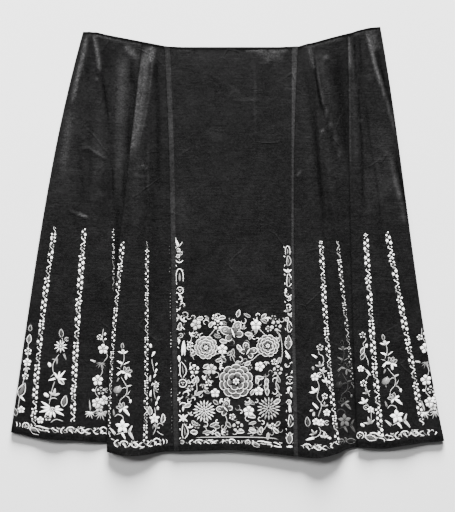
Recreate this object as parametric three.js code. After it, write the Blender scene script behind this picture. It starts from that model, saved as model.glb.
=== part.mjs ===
// A pleated wrap skirt of black satin, laid out flat on its back: a plain front panel with a strip along
// each edge, gores that are folded into pleats on either side of it, and a flat back.
// Millimetres. +X is to the right of the front, +Y runs from the hem to the waist, +Z is up from the surface
// that the skirt lies on. The origin is the middle of its outline, on that surface.
import * as THREE from "three";

const CLOTH = 1.4; // satin and its lining
const STRIP_CLOTH = 1.0;
const SEAM_GAP = 0.3;
const LAY_GAP = 0.3; // between a piece and what lies on it
const BACK_Z = CLOTH / 2; // middle of the back wall, which lies on the surface
const BACK_RISE = 2; // the back waist edge shows above the front one
const PANEL_WIDTH = 268;
const PANEL_SHIFT = 14; // the front panel sits a little to the right

const WAIST_TURNING = { depth: 6, extra: 0.5 };
const HEM_TURNING = { depth: 16, extra: 0.6 };
const TURNING_STEP = 1; // run of the slope where a turning ends

const ROWS = 15; // even steps between the two turnings
const ARC_STEPS = 4; // steps round a fold edge
const SPAN_STEPS = 3; // steps from one fold line to the next

// Where the columns of the tables are, as shares of the way from waist to hem.
const STATIONS = [0, 0.3, 0.65, 1];

// Each row is a line from waist to hem. x and z are at the waist, hip, knee and hem, y at the waist and hem.
// A line with fold is the edge of a fold of that radius, facing left or right, and z is its middle height.
// Its outermost line has the same name with _edge.
// A covered line lies under the front panel, where the turnings are not doubled.
const LEFT_LINES = [
  { name: "back_seam", x: [-280, -320, -358, -391], y: [460, -430.5], z: [0.7, 0.7, 0.7, 0.7] },
  { name: "side", x: [-318, -380, -432, -477], y: [463, -419], z: [2.4, 2.8, 3.5, 4.6], fold: [1.7, 2.1, 2.8, 3.9], faces: "left" },
  { name: "roll", x: [-308, -368, -416, -464], y: [463, -421], z: [4.2, 5.1, 6.8, 9.2] },
  { name: "seam_1", x: [-303, -353, -402, -428], y: [463, -430], z: [6.0, 6.6, 7.1, 8.6] },
  { name: "swell_1", x: [-296, -329, -362, -384], y: [462, -435], z: [7.2, 7.6, 9.0, 14.0] },
  { name: "seam_2", x: [-290, -304, -327, -342], y: [462, -437], z: [8.4, 7.6, 7.4, 9.4] },
  { name: "swell_2", x: [-285, -283, -292, -303], y: [461, -440], z: [8.0, 7.4, 6.8, 9.6] },
  { name: "seam_3", x: [-281, -257, -252, -259], y: [460, -443], z: [6.6, 4.2, 2.9, 3.1] },
  { name: "valley", x: [-241, -243, -239, -237], y: [451, -446], z: [3.0, 2.6, 2.5, 2.5] },
  { name: "tuck_foot", x: [-179, -194, -214, -228], y: [439, -452], z: [2.5, 2.5, 2.5, 2.5] },
  { name: "tuck", x: [-171, -186, -206, -219], y: [437, -455], z: [3.8, 3.8, 3.8, 4.4], fold: [1.3, 1.3, 1.3, 1.9], faces: "right" },
  { name: "pleat", x: [-188, -218, -252, -265], y: [440, -462], z: [6.4, 6.4, 7.4, 10.4], fold: [1.3, 1.3, 1.8, 3.6], faces: "left" },
  { name: "seam_4", x: [-180, -210, -246, -259], y: [439, -463], z: [8.6, 8.6, 9.2, 15.6] },
  { name: "swell_3", x: [-172, -192, -211, -221], y: [437, -470], z: [9.4, 9.2, 11.0, 22.0] },
  { name: "seam_5", x: [-164, -175, -178, -182], y: [435, -468], z: [8.0, 8.4, 10.0, 18.0] },
  { name: "dip", x: [-151, -149, -146, -144], y: [433, -462], z: [4.4, 4.4, 4.8, 8.4] },
  { name: "lap", x: [-140, -129, -124, -119], y: [431, -461], z: [5.1, 5.2, 5.7, 9.1], covered: true },
  { name: "under_panel", x: [-126, -116, -110, -105], y: [430, -461], z: [5.1, 5.2, 5.7, 9.2], covered: true },
];

const PANEL_LINES = [
  { name: "left_edge", x: [-139, -128, -123, -118], y: [431, -461], z: [7.0, 7.1, 7.6, 11.0] },
  { name: "left_third", x: [-65, -61, -59, -54], y: [428, -459], z: [7.1, 7.2, 7.9, 11.6] },
  { name: "middle", x: [5, 5, 5, 5], y: [428, -457.5], z: [7.2, 7.4, 8.2, 12.4] },
  { name: "right_third", x: [76, 74, 76, 80], y: [428, -464], z: [7.2, 7.4, 8.4, 13.6] },
  { name: "right_edge", x: [155, 146, 148, 155], y: [431, -472], z: [7.4, 7.6, 9.2, 16.0] },
];

const RIGHT_LINES = [
  { name: "under_panel", x: [141, 132, 134, 141], y: [430, -470], z: [5.4, 5.6, 7.1, 13.5], covered: true },
  { name: "lap", x: [156, 147, 149, 156], y: [431, -472], z: [5.5, 5.7, 7.3, 14.1], covered: true },
  { name: "swell_1", x: [167, 170, 181, 201], y: [434, -474], z: [7.4, 8.0, 11.0, 24.0] },
  { name: "seam_1", x: [177, 196, 214, 244], y: [437, -464], z: [7.0, 7.6, 9.6, 18.0] },
  { name: "valley_1", x: [187, 206, 232, 262], y: [439, -456], z: [3.8, 3.4, 3.4, 7.4] },
  { name: "seam_2", x: [199, 223, 257, 288], y: [442, -452], z: [6.6, 6.2, 4.0, 3.0] },
  { name: "valley_2", x: [234, 249, 271, 300], y: [452, -452], z: [3.4, 2.7, 2.5, 2.6] },
  { name: "tuck_foot", x: [274, 277, 285, 310], y: [462, -452], z: [2.5, 2.5, 2.5, 2.5] },
  { name: "tuck", x: [282, 285, 293, 318], y: [464, -452], z: [3.8, 3.8, 3.8, 3.9], fold: [1.3, 1.3, 1.3, 1.4], faces: "right" },
  { name: "pleat", x: [265, 268, 275, 286], y: [459, -452], z: [6.4, 6.4, 6.6, 8.0], fold: [1.3, 1.3, 1.4, 2.3], faces: "left" },
  { name: "swell_2", x: [274, 280, 293, 311], y: [461, -453], z: [8.8, 8.6, 9.0, 13.0] },
  { name: "seam_3", x: [284, 295, 313, 340], y: [465, -455], z: [7.8, 8.0, 8.2, 10.2] },
  { name: "swell_3", x: [292, 307, 342, 388], y: [467, -448], z: [7.6, 8.0, 8.8, 13.0] },
  { name: "seam_4", x: [300, 323, 378, 434], y: [469, -442], z: [7.2, 7.6, 7.2, 8.6] },
  { name: "roll", x: [309, 363, 409, 466], y: [471, -439], z: [8.4, 6.6, 6.4, 9.0] },
  { name: "side", x: [336, 378, 421, 477], y: [474, -438], z: [2.4, 2.8, 3.5, 4.6], fold: [1.7, 2.1, 2.8, 3.9], faces: "right" },
  { name: "back_seam", x: [297, 324, 355, 399], y: [468, -441.8], z: [0.7, 0.7, 0.7, 0.7] },
];

// The strips along the front panel's edges: how wide each is at the waist, hip, knee and hem.
const LEFT_STRIP = { width: [11.5, 11, 10.5, 11] };
const RIGHT_STRIP = { width: [13.5, 5.5, 7, 9] };
const STRIP_COLUMNS = 2;

// Gores between the back panel and the gore that turns up at each side fold.
const BACK_GORES = 4;
const BACK_COLUMNS = 2;
const BACK_LENGTH = 890;

const satin = new THREE.MeshStandardMaterial({ color: 0x1a1a1b, roughness: 0.42, metalness: 0 });
const stripSatin = new THREE.MeshStandardMaterial({ color: 0x2b2b2d, roughness: 0.38, metalness: 0 });

const mix = (a, b, share) => a + (b - a) * share;

// A smooth value between the table's columns: the cubic through all four.
function atStation(values, t) {
  return values.reduce((sum, value, i) => {
    const weight = STATIONS.reduce(
      (product, station, j) => (j === i ? product : (product * (t - station)) / (STATIONS[i] - station)),
      1,
    );
    return sum + value * weight;
  }, 0);
}

function linePoint(line, t) {
  return new THREE.Vector3(atStation(line.x, t), mix(line.y[0], line.y[1], t), atStation(line.z, t));
}

// The points that a line gives a cross-section: one, or those round a fold's edge.
function lineControls(line, t) {
  const point = linePoint(line, t);
  if (!line.fold) return [point];
  const radius = atStation(line.fold, t);
  const side = line.faces === "left" ? -1 : 1;
  const climbs = line.climbs ?? 1;
  const controls = [];
  for (let step = 0; step <= ARC_STEPS; step++) {
    const angle = -Math.PI / 2 + (Math.PI * step) / ARC_STEPS;
    controls.push(
      new THREE.Vector3(
        point.x + side * radius * (Math.cos(angle) - 1),
        point.y,
        point.z + climbs * radius * Math.sin(angle),
      ),
    );
  }
  return controls;
}

// A run of cloth through some lines, with the place of each line along it.
function makeCloth(lines) {
  const places = new Map();
  let count = 0;
  for (const line of lines) {
    places.set(line.name, count);
    if (line.fold) places.set(`${line.name}_edge`, count + ARC_STEPS / 2);
    count += line.fold ? ARC_STEPS + 1 : 1;
  }
  const inArc = new Set();
  for (const line of lines) {
    if (!line.fold) continue;
    for (let step = 0; step < ARC_STEPS; step++) inArc.add(places.get(line.name) + step);
  }
  const covered = lines.filter((line) => line.covered).map((line) => places.get(line.name));
  const isCovered = (place) => place >= Math.min(...covered) && place <= Math.max(...covered);
  const curves = new Map();
  const curveAt = (t) => {
    if (!curves.has(t)) {
      const controls = lines.flatMap((line) => lineControls(line, t));
      curves.set(t, new THREE.CatmullRomCurve3(controls, false, "centripetal"));
    }
    return curves.get(t);
  };
  const pointAt = (place, t) => {
    const point = curveAt(t).getPoint(THREE.MathUtils.clamp(place / (count - 1), 0, 1));
    point.z = Math.max(point.z, BACK_Z);
    return point;
  };
  return { places, inArc, isCovered, pointAt, last: count - 1 };
}

// Outward direction of the cloth, from small steps along it and down it.
function normalAt(cloth, place, t) {
  const step = 0.02;
  const along = cloth
    .pointAt(Math.min(place + step, cloth.last), t)
    .sub(cloth.pointAt(Math.max(place - step, 0), t));
  const down = cloth
    .pointAt(place, Math.min(t + step, 1))
    .sub(cloth.pointAt(place, Math.max(t - step, 0)));
  return down.cross(along).normalize();
}

// Steps from the waist to the hem, with a short slope where each turning ends.
function rowsOf(length) {
  const waist = WAIST_TURNING.depth / length;
  const hem = 1 - HEM_TURNING.depth / length;
  const slope = TURNING_STEP / length;
  const rows = [{ t: 0, extra: WAIST_TURNING.extra }, { t: waist, extra: WAIST_TURNING.extra }];
  for (let i = 0; i <= ROWS; i++) rows.push({ t: mix(waist + slope, hem - slope, i / ROWS), extra: 0 });
  rows.push({ t: hem, extra: HEM_TURNING.extra }, { t: 1, extra: HEM_TURNING.extra });
  return rows;
}

// A closed wall from two grids of points, outer and inner, with the same rows and columns.
function wallGeometry(outer, inner) {
  const rows = outer.length;
  const columns = outer[0].length;
  const positions = [...outer.flat(), ...inner.flat()].flatMap((p) => [p.x, p.y, p.z]);
  const at = (row, column, layer) => layer * rows * columns + row * columns + column;
  const index = [];
  const quad = (a, b, c, d) => index.push(a, b, c, a, c, d);
  for (let r = 0; r + 1 < rows; r++) {
    for (let c = 0; c + 1 < columns; c++) {
      quad(at(r, c, 0), at(r + 1, c, 0), at(r + 1, c + 1, 0), at(r, c + 1, 0));
      quad(at(r, c, 1), at(r, c + 1, 1), at(r + 1, c + 1, 1), at(r + 1, c, 1));
    }
    quad(at(r, 0, 0), at(r, 0, 1), at(r + 1, 0, 1), at(r + 1, 0, 0));
    quad(at(r, columns - 1, 0), at(r + 1, columns - 1, 0), at(r + 1, columns - 1, 1), at(r, columns - 1, 1));
  }
  for (let c = 0; c + 1 < columns; c++) {
    quad(at(0, c, 0), at(0, c + 1, 0), at(0, c + 1, 1), at(0, c, 1));
    quad(at(rows - 1, c, 0), at(rows - 1, c, 1), at(rows - 1, c + 1, 1), at(rows - 1, c + 1, 0));
  }
  const geometry = new THREE.BufferGeometry();
  geometry.setAttribute("position", new THREE.Float32BufferAttribute(positions, 3));
  geometry.setIndex(index);
  geometry.computeVertexNormals();
  return geometry;
}

// Where the columns of a piece are, between two of the cloth's lines.
function columnPlaces(cloth, from, to) {
  const places = [from];
  for (let place = from; place < to; place++) {
    const steps = cloth.inArc.has(place) ? 1 : SPAN_STEPS;
    for (let step = 1; step <= steps; step++) places.push(place + step / steps);
  }
  return places;
}

// One piece of cloth: the wall between two lines. Its side edges stand back half a seam gap.
function clothPiece(name, cloth, from, to) {
  const places = columnPlaces(cloth, cloth.places.get(from), cloth.places.get(to));
  const length = cloth.pointAt(places[0], 0).distanceTo(cloth.pointAt(places[0], 1));
  const outer = [];
  const inner = [];
  for (const { t, extra } of rowsOf(length)) {
    const points = places.map((place) => cloth.pointAt(place, t));
    const end = points.length - 1;
    const startStep = points[1].clone().sub(points[0]).setLength(SEAM_GAP / 2);
    const endStep = points[end - 1].clone().sub(points[end]).setLength(SEAM_GAP / 2);
    points[0].add(startStep);
    points[end].add(endStep);
    const normals = places.map((place) => normalAt(cloth, place, t));
    const turning = places.map((place) => (cloth.isCovered(place) ? 0 : extra));
    const outward = (i) => CLOTH / 2 + turning[i] * Math.max(0, normals[i].z);
    const inward = (i) => CLOTH / 2 + turning[i] * Math.max(0, -normals[i].z);
    outer.push(points.map((p, i) => p.clone().addScaledVector(normals[i], outward(i))));
    inner.push(points.map((p, i) => p.clone().addScaledVector(normals[i], -inward(i))));
  }
  return named(name, wallGeometry(outer, inner), satin);
}

function named(name, geometry, material) {
  const mesh = new THREE.Mesh(geometry, material);
  mesh.name = name;
  return mesh;
}

// A strip that lies on the front panel along one edge, made from the panel's points moved out.
function edgeStrip(name, panel, edge, side, width) {
  const edgePlace = panel.places.get(edge);
  const length = panel.pointAt(edgePlace, 0).distanceTo(panel.pointAt(edgePlace, 1));
  const outer = [];
  const inner = [];
  for (const { t, extra } of rowsOf(length)) {
    const spread = atStation(width, t);
    const neighbour = panel.pointAt(edgePlace - side, t);
    const start = panel.pointAt(edgePlace, t);
    const reach = spread / Math.abs(neighbour.x - start.x);
    const lift = CLOTH / 2 + extra + LAY_GAP;
    const outerRow = [];
    const innerRow = [];
    for (let column = 0; column <= STRIP_COLUMNS; column++) {
      const share = side > 0 ? 1 - column / STRIP_COLUMNS : column / STRIP_COLUMNS;
      const place = edgePlace - side * reach * share;
      const normal = normalAt(panel, place, t);
      const point = panel.pointAt(place, t);
      innerRow.push(point.clone().addScaledVector(normal, lift));
      outerRow.push(point.clone().addScaledVector(normal, lift + STRIP_CLOTH));
    }
    outer.push(outerRow);
    inner.push(innerRow);
  }
  return named(name, wallGeometry(outer, inner), stripSatin);
}

// A flat piece of the back between two curves of x, each a function of the share of the way down.
function backPiece(name, leftX, rightX, columns) {
  const outer = [];
  const inner = [];
  const across = (share, t) => mix(rightX(t) - SEAM_GAP / 2, leftX(t) + SEAM_GAP / 2, share);
  for (const { t } of rowsOf(BACK_LENGTH)) {
    const outerRow = [];
    const innerRow = [];
    for (let column = 0; column <= columns; column++) {
      const share = column / columns;
      const x = across(share, t);
      const y = mix(backTop(across(share, 0)), backHem(across(share, 1)), t);
      outerRow.push(new THREE.Vector3(x, y, 0));
      innerRow.push(new THREE.Vector3(x, y, CLOTH));
    }
    outer.push(outerRow);
    inner.push(innerRow);
  }
  return named(name, wallGeometry(outer, inner), satin);
}

const leftSide = LEFT_LINES.find((line) => line.name === "back_seam");
const rightSide = RIGHT_LINES.find((line) => line.name === "back_seam");

// The waist of the back dips in the middle as the front does, and its hem is one even curve.
const WAIST_DIP = { middle: 428, flatHalf: 140, left: 0.208, right: 0.28 };
function backTop(x) {
  const past = Math.max(0, Math.abs(x - PANEL_SHIFT) - WAIST_DIP.flatHalf);
  const slope = x < PANEL_SHIFT ? WAIST_DIP.left : WAIST_DIP.right;
  const rise = BACK_RISE * Math.max(0, 1 - past / WAIST_DIP.flatHalf);
  return WAIST_DIP.middle + slope * past + rise;
}

const HEM_CURVE = { middle: -452, left: 22, right: 10, half: 395 };
function backHem(x) {
  const rise = x < 0 ? HEM_CURVE.left : HEM_CURVE.right;
  return HEM_CURVE.middle + rise * (x / HEM_CURVE.half) ** 2;
}

function makeBack() {
  const half = PANEL_WIDTH / 2;
  const panelLeft = () => PANEL_SHIFT - half;
  const panelRight = () => PANEL_SHIFT + half;
  const goreEdge = (panelEdge, side, share) => (t) => mix(panelEdge(t), atStation(side.x, t), share);
  const pieces = [backPiece("back_panel", panelLeft, panelRight, BACK_COLUMNS * 2)];
  for (let i = 0; i < BACK_GORES; i++) {
    const near = i / BACK_GORES;
    const far = (i + 1) / BACK_GORES;
    pieces.push(
      backPiece(
        `back_left_gore_${i + 1}`,
        goreEdge(panelLeft, leftSide, far),
        goreEdge(panelLeft, leftSide, near),
        BACK_COLUMNS,
      ),
      backPiece(
        `back_right_gore_${i + 1}`,
        goreEdge(panelRight, rightSide, near),
        goreEdge(panelRight, rightSide, far),
        BACK_COLUMNS,
      ),
    );
  }
  return pieces;
}

function makeFront() {
  const left = makeCloth(LEFT_LINES);
  const panel = makeCloth(PANEL_LINES);
  const right = makeCloth(RIGHT_LINES.map((line) => (line.name === "side" ? { ...line, climbs: -1 } : line)));
  return [
    clothPiece("back_left_gore_5", left, "back_seam", "side_edge"),
    clothPiece("left_side_gore", left, "side_edge", "seam_1"),
    clothPiece("front_left_gore_5", left, "seam_1", "seam_2"),
    clothPiece("front_left_gore_4", left, "seam_2", "seam_3"),
    clothPiece("front_left_gore_3", left, "seam_3", "seam_4"),
    clothPiece("front_left_gore_2", left, "seam_4", "seam_5"),
    clothPiece("front_left_gore_1", left, "seam_5", "under_panel"),
    clothPiece("front_panel", panel, "left_edge", "right_edge"),
    edgeStrip("front_left_strip", panel, "left_edge", -1, LEFT_STRIP.width),
    edgeStrip("front_right_strip", panel, "right_edge", 1, RIGHT_STRIP.width),
    clothPiece("front_right_gore_1", right, "under_panel", "seam_1"),
    clothPiece("front_right_gore_2", right, "seam_1", "seam_2"),
    clothPiece("front_right_gore_3", right, "seam_2", "seam_3"),
    clothPiece("front_right_gore_4", right, "seam_3", "seam_4"),
    clothPiece("right_side_gore", right, "seam_4", "side_edge"),
    clothPiece("back_right_gore_5", right, "side_edge", "back_seam"),
  ];
}

const skirt = new THREE.Group();
skirt.add(...makeFront(), ...makeBack());

export default skirt;
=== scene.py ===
"""A pleated wrap skirt of black satin with pale silk embroidery, laid out flat on its back.

Tables and charts are in millimetres, in the skirt's own frame: +X to the right of the front, +Y from the hem
to the waist, +Z up from the surface that it lies on. Meshes are in metres.
"""

import math

import bmesh
import bpy
import numpy as np
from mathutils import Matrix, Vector


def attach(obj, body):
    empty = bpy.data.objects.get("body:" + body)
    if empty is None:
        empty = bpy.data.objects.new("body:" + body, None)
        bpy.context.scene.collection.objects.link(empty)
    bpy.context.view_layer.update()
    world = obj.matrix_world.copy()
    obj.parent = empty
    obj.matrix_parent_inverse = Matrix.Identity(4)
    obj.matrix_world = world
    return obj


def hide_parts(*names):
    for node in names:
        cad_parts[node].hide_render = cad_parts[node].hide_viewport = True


MM = 0.001

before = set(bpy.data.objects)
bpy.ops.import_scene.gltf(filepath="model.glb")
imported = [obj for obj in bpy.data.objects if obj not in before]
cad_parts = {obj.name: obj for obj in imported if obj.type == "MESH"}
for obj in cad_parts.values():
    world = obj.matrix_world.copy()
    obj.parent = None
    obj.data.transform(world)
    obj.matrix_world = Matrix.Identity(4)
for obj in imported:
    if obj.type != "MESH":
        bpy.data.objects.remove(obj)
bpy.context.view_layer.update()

# The cloth

CLOTH = 1.4  # satin and its lining
SHELL = 1.1  # thickness of a drawn shell, inside the cloth's own
BACK_Z = CLOTH / 2
STATIONS = (0, 0.3, 0.65, 1)  # the tables' columns, as shares of the way from waist to hem
ARC_STEPS = 4
HEM_TURNING = 16
WAIST_TURNING = 6
TURNING_EXTRA = 0.5
# Painted shade along the turned edges: the share of tone taken off on the waist's thin line and on the hem's
# turning.
WAIST_SHADE = 0.9
HEM_SHADE = 0.35
WAIST_LINE = 4  # height of the thin line of painted shade along the waist

# Each row is a line from waist to hem: x and z at the four stations, y at the waist and hem, and for the edge
# of a fold its radius and the side it faces.
LEFT_LINES = [
    dict(name="back_seam", x=(-280, -320, -358, -391), y=(460, -430.5), z=(0.7, 0.7, 0.7, 0.7)),
    dict(name="side", x=(-318, -380, -432, -477), y=(463, -419), z=(2.4, 2.8, 3.5, 4.6),
         fold=(1.7, 2.1, 2.8, 3.9), faces="left"),
    dict(name="roll", x=(-308, -368, -416, -464), y=(463, -421), z=(4.2, 5.1, 6.8, 9.2)),
    dict(name="seam_1", x=(-303, -353, -402, -428), y=(463, -430), z=(6.0, 6.6, 7.1, 8.6)),
    dict(name="swell_1", x=(-296, -329, -362, -384), y=(462, -435), z=(7.2, 7.6, 9.0, 14.0)),
    dict(name="seam_2", x=(-290, -304, -327, -342), y=(462, -437), z=(8.4, 7.6, 7.4, 9.4)),
    dict(name="swell_2", x=(-285, -283, -292, -303), y=(461, -440), z=(8.0, 7.4, 6.8, 9.6)),
    dict(name="seam_3", x=(-281, -257, -252, -259), y=(460, -443), z=(6.6, 4.2, 2.9, 3.1)),
    dict(name="valley", x=(-241, -243, -239, -237), y=(451, -446), z=(3.0, 2.6, 2.5, 2.5)),
    dict(name="tuck_foot", x=(-179, -194, -214, -228), y=(439, -452), z=(2.5, 2.5, 2.5, 2.5)),
    dict(name="tuck", x=(-171, -186, -206, -219), y=(437, -455), z=(3.8, 3.8, 3.8, 4.4),
         fold=(1.3, 1.3, 1.3, 1.9), faces="right"),
    dict(name="pleat", x=(-188, -218, -252, -265), y=(440, -462), z=(6.4, 6.4, 7.4, 10.4),
         fold=(1.3, 1.3, 1.8, 3.6), faces="left"),
    dict(name="seam_4", x=(-180, -210, -246, -259), y=(439, -463), z=(8.6, 8.6, 9.2, 15.6)),
    dict(name="swell_3", x=(-172, -192, -211, -221), y=(437, -470), z=(9.4, 9.2, 11.0, 22.0)),
    dict(name="seam_5", x=(-164, -175, -178, -182), y=(435, -468), z=(8.0, 8.4, 10.0, 18.0)),
    dict(name="dip", x=(-151, -149, -146, -144), y=(433, -462), z=(4.4, 4.4, 4.8, 8.4)),
    dict(name="lap", x=(-140, -129, -124, -119), y=(431, -461), z=(5.1, 5.2, 5.7, 9.1)),
    dict(name="under_panel", x=(-126, -116, -110, -105), y=(430, -461), z=(5.1, 5.2, 5.7, 9.2)),
]
PANEL_LINES = [
    dict(name="left_edge", x=(-139, -128, -123, -118), y=(431, -461), z=(7.0, 7.1, 7.6, 11.0)),
    dict(name="left_third", x=(-65, -61, -59, -54), y=(428, -459), z=(7.1, 7.2, 7.9, 11.6)),
    dict(name="middle", x=(5, 5, 5, 5), y=(428, -457.5), z=(7.2, 7.4, 8.2, 12.4)),
    dict(name="right_third", x=(76, 74, 76, 80), y=(428, -464), z=(7.2, 7.4, 8.4, 13.6)),
    dict(name="right_edge", x=(155, 146, 148, 155), y=(431, -472), z=(7.4, 7.6, 9.2, 16.0)),
]
RIGHT_LINES = [
    dict(name="under_panel", x=(141, 132, 134, 141), y=(430, -470), z=(5.4, 5.6, 7.1, 13.5)),
    dict(name="lap", x=(156, 147, 149, 156), y=(431, -472), z=(5.5, 5.7, 7.3, 14.1)),
    dict(name="swell_1", x=(167, 170, 181, 201), y=(434, -474), z=(7.4, 8.0, 11.0, 24.0)),
    dict(name="seam_1", x=(177, 196, 214, 244), y=(437, -464), z=(7.0, 7.6, 9.6, 18.0)),
    dict(name="valley_1", x=(187, 206, 232, 262), y=(439, -456), z=(3.8, 3.4, 3.4, 7.4)),
    dict(name="seam_2", x=(199, 223, 257, 288), y=(442, -452), z=(6.6, 6.2, 4.0, 3.0)),
    dict(name="valley_2", x=(234, 249, 271, 300), y=(452, -452), z=(3.4, 2.7, 2.5, 2.6)),
    dict(name="tuck_foot", x=(274, 277, 285, 310), y=(462, -452), z=(2.5, 2.5, 2.5, 2.5)),
    dict(name="tuck", x=(282, 285, 293, 318), y=(464, -452), z=(3.8, 3.8, 3.8, 3.9),
         fold=(1.3, 1.3, 1.3, 1.4), faces="right"),
    dict(name="pleat", x=(265, 268, 275, 286), y=(459, -452), z=(6.4, 6.4, 6.6, 8.0),
         fold=(1.3, 1.3, 1.4, 2.3), faces="left"),
    dict(name="swell_2", x=(274, 280, 293, 311), y=(461, -453), z=(8.8, 8.6, 9.0, 13.0)),
    dict(name="seam_3", x=(284, 295, 313, 340), y=(465, -455), z=(7.8, 8.0, 8.2, 10.2)),
    dict(name="swell_3", x=(292, 307, 342, 388), y=(467, -448), z=(7.6, 8.0, 8.8, 13.0)),
    dict(name="seam_4", x=(300, 323, 378, 434), y=(469, -442), z=(7.2, 7.6, 7.2, 8.6)),
    dict(name="roll", x=(309, 363, 409, 466), y=(471, -439), z=(8.4, 6.6, 6.4, 9.0)),
    dict(name="side", x=(336, 378, 421, 477), y=(474, -438), z=(2.4, 2.8, 3.5, 4.6),
         fold=(1.7, 2.1, 2.8, 3.9), faces="right", climbs=-1),
    dict(name="back_seam", x=(297, 324, 355, 399), y=(468, -441.8), z=(0.7, 0.7, 0.7, 0.7)),
]

# Creases and soft folds on the layer that shows: a path down the cloth, how wide it is, and how far it stands
# up, or sinks where that is below 0.
CREASES = {
    "left_outer": [
        (((-277, 396), (-266, 312), (-257, 251), (-255, 159), (-250, 33)), 7, -1.4),
        (((-239, 429), (-248, 306), (-255, 268)), 5, 1.1),
        (((-214, 415), (-207, 323)), 5, 0.9),
        (((-308, 344), (-306, 200), (-310, 40)), 4, -0.7),
        (((-312, 452), (-309, 374)), 4, 1.3),
        (((-296, 458), (-288, 400), (-283, 366)), 4, 1.2),
        (((-300, 458), (-300, 405)), 3, -0.9),
        (((-262, 455), (-262, 380), (-268, 330)), 5, 0.8),
        (((-324, 213), (-300, 196), (-264, 180)), 7, 0.7),
        (((-357, 86), (-320, 70), (-281, 43)), 6, 0.6),
        (((-345, 330), (-372, 200), (-386, 80)), 8, 0.7),
        (((-330, 380), (-344, 250), (-352, 120)), 10, -0.6),
        (((-372, -60), (-388, -200), (-396, -330)), 14, 0.9),
        (((-290, -20), (-293, -160), (-300, -330)), 12, 0.8),
        (((-340, -120), (-352, -260), (-362, -400)), 12, 0.8),
    ],
    "left_inner": [
        (((-192, 424), (-198, 330), (-208, 196)), 6, 0.8),
        (((-176, 268), (-178, 130), (-177, 3)), 4, -0.8),
        (((-150, 430), (-166, 300), (-168, 150), (-140, 5)), 7, -0.9),
        (((-208, 187), (-190, 172), (-155, 158)), 6, 0.6),
        (((-205, 100), (-212, -60), (-226, -250)), 9, 0.7),
        (((-160, -60), (-162, -220), (-165, -400)), 8, -0.8),
        (((-200, -40), (-204, -200), (-212, -420)), 9, 0.9),
    ],
    "panel": [
        (((60, 400), (60, 200), (62, 100)), 4, 0.4),
        (((10, 312), (50, 313), (78, 312)), 3, 0.5),
        (((-110, 16), (0, 12), (120, 18)), 5, -0.3),
        (((70, 425), (95, 400), (110, 370)), 16, 0.7),
        (((-90, 300), (-95, 100), (-92, -60)), 22, 0.6),
        (((-30, 180), (-26, 20), (-34, -120)), 26, -0.5),
        (((112, 200), (115, 40), (110, -100)), 20, 0.6),
        (((20, -330), (24, -400), (22, -458)), 18, 1.0),
        (((-70, -360), (-72, -458)), 16, -0.8),
    ],
    "right_inner": [
        (((176, 427), (187, 323), (190, 268), (199, 121), (209, 11)), 5, 0.9),
        (((192, 429), (199, 350), (214, 284)), 5, 1.0),
        (((214, 367), (232, 268), (247, 209), (265, 147)), 6, 1.0),
        (((205, 200), (216, 90), (226, 10)), 8, -0.9),
        (((232, 90), (240, 20), (246, -60)), 7, 0.7),
        (((176, -60), (182, -200), (190, -420)), 10, 0.9),
        (((224, -120), (232, -260), (240, -400)), 8, -0.6),
        (((170, 120), (172, 20), (174, -80)), 9, -0.6),
    ],
    "right_outer": [
        (((286, 460), (287, 284), (289, 231), (294, 130), (297, 48)), 4, 0.8),
        (((298, 341), (309, 240), (320, 165), (330, 103), (340, 55)), 5, -0.8),
        (((307, 466), (327, 396), (346, 312), (362, 253), (368, 231)), 5, 1.6),
        (((351, 196), (368, 130), (384, 75)), 5, 1.0),
        (((357, 198), (340, 176), (326, 154)), 5, 0.7),
        (((318, 455), (334, 390), (350, 330)), 5, -0.9),
        (((300, 0), (310, -160), (322, -300)), 8, 0.7),
        (((346, -20), (366, -180), (384, -360)), 13, 0.9),
        (((395, -60), (414, -200), (436, -380)), 10, 0.8),
        (((330, 30), (345, -120), (352, -260)), 9, -0.7),
    ],
}
STROKE_ENDS = 5  # a stroke fades in and out over this part of its length: a fifth
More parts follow.
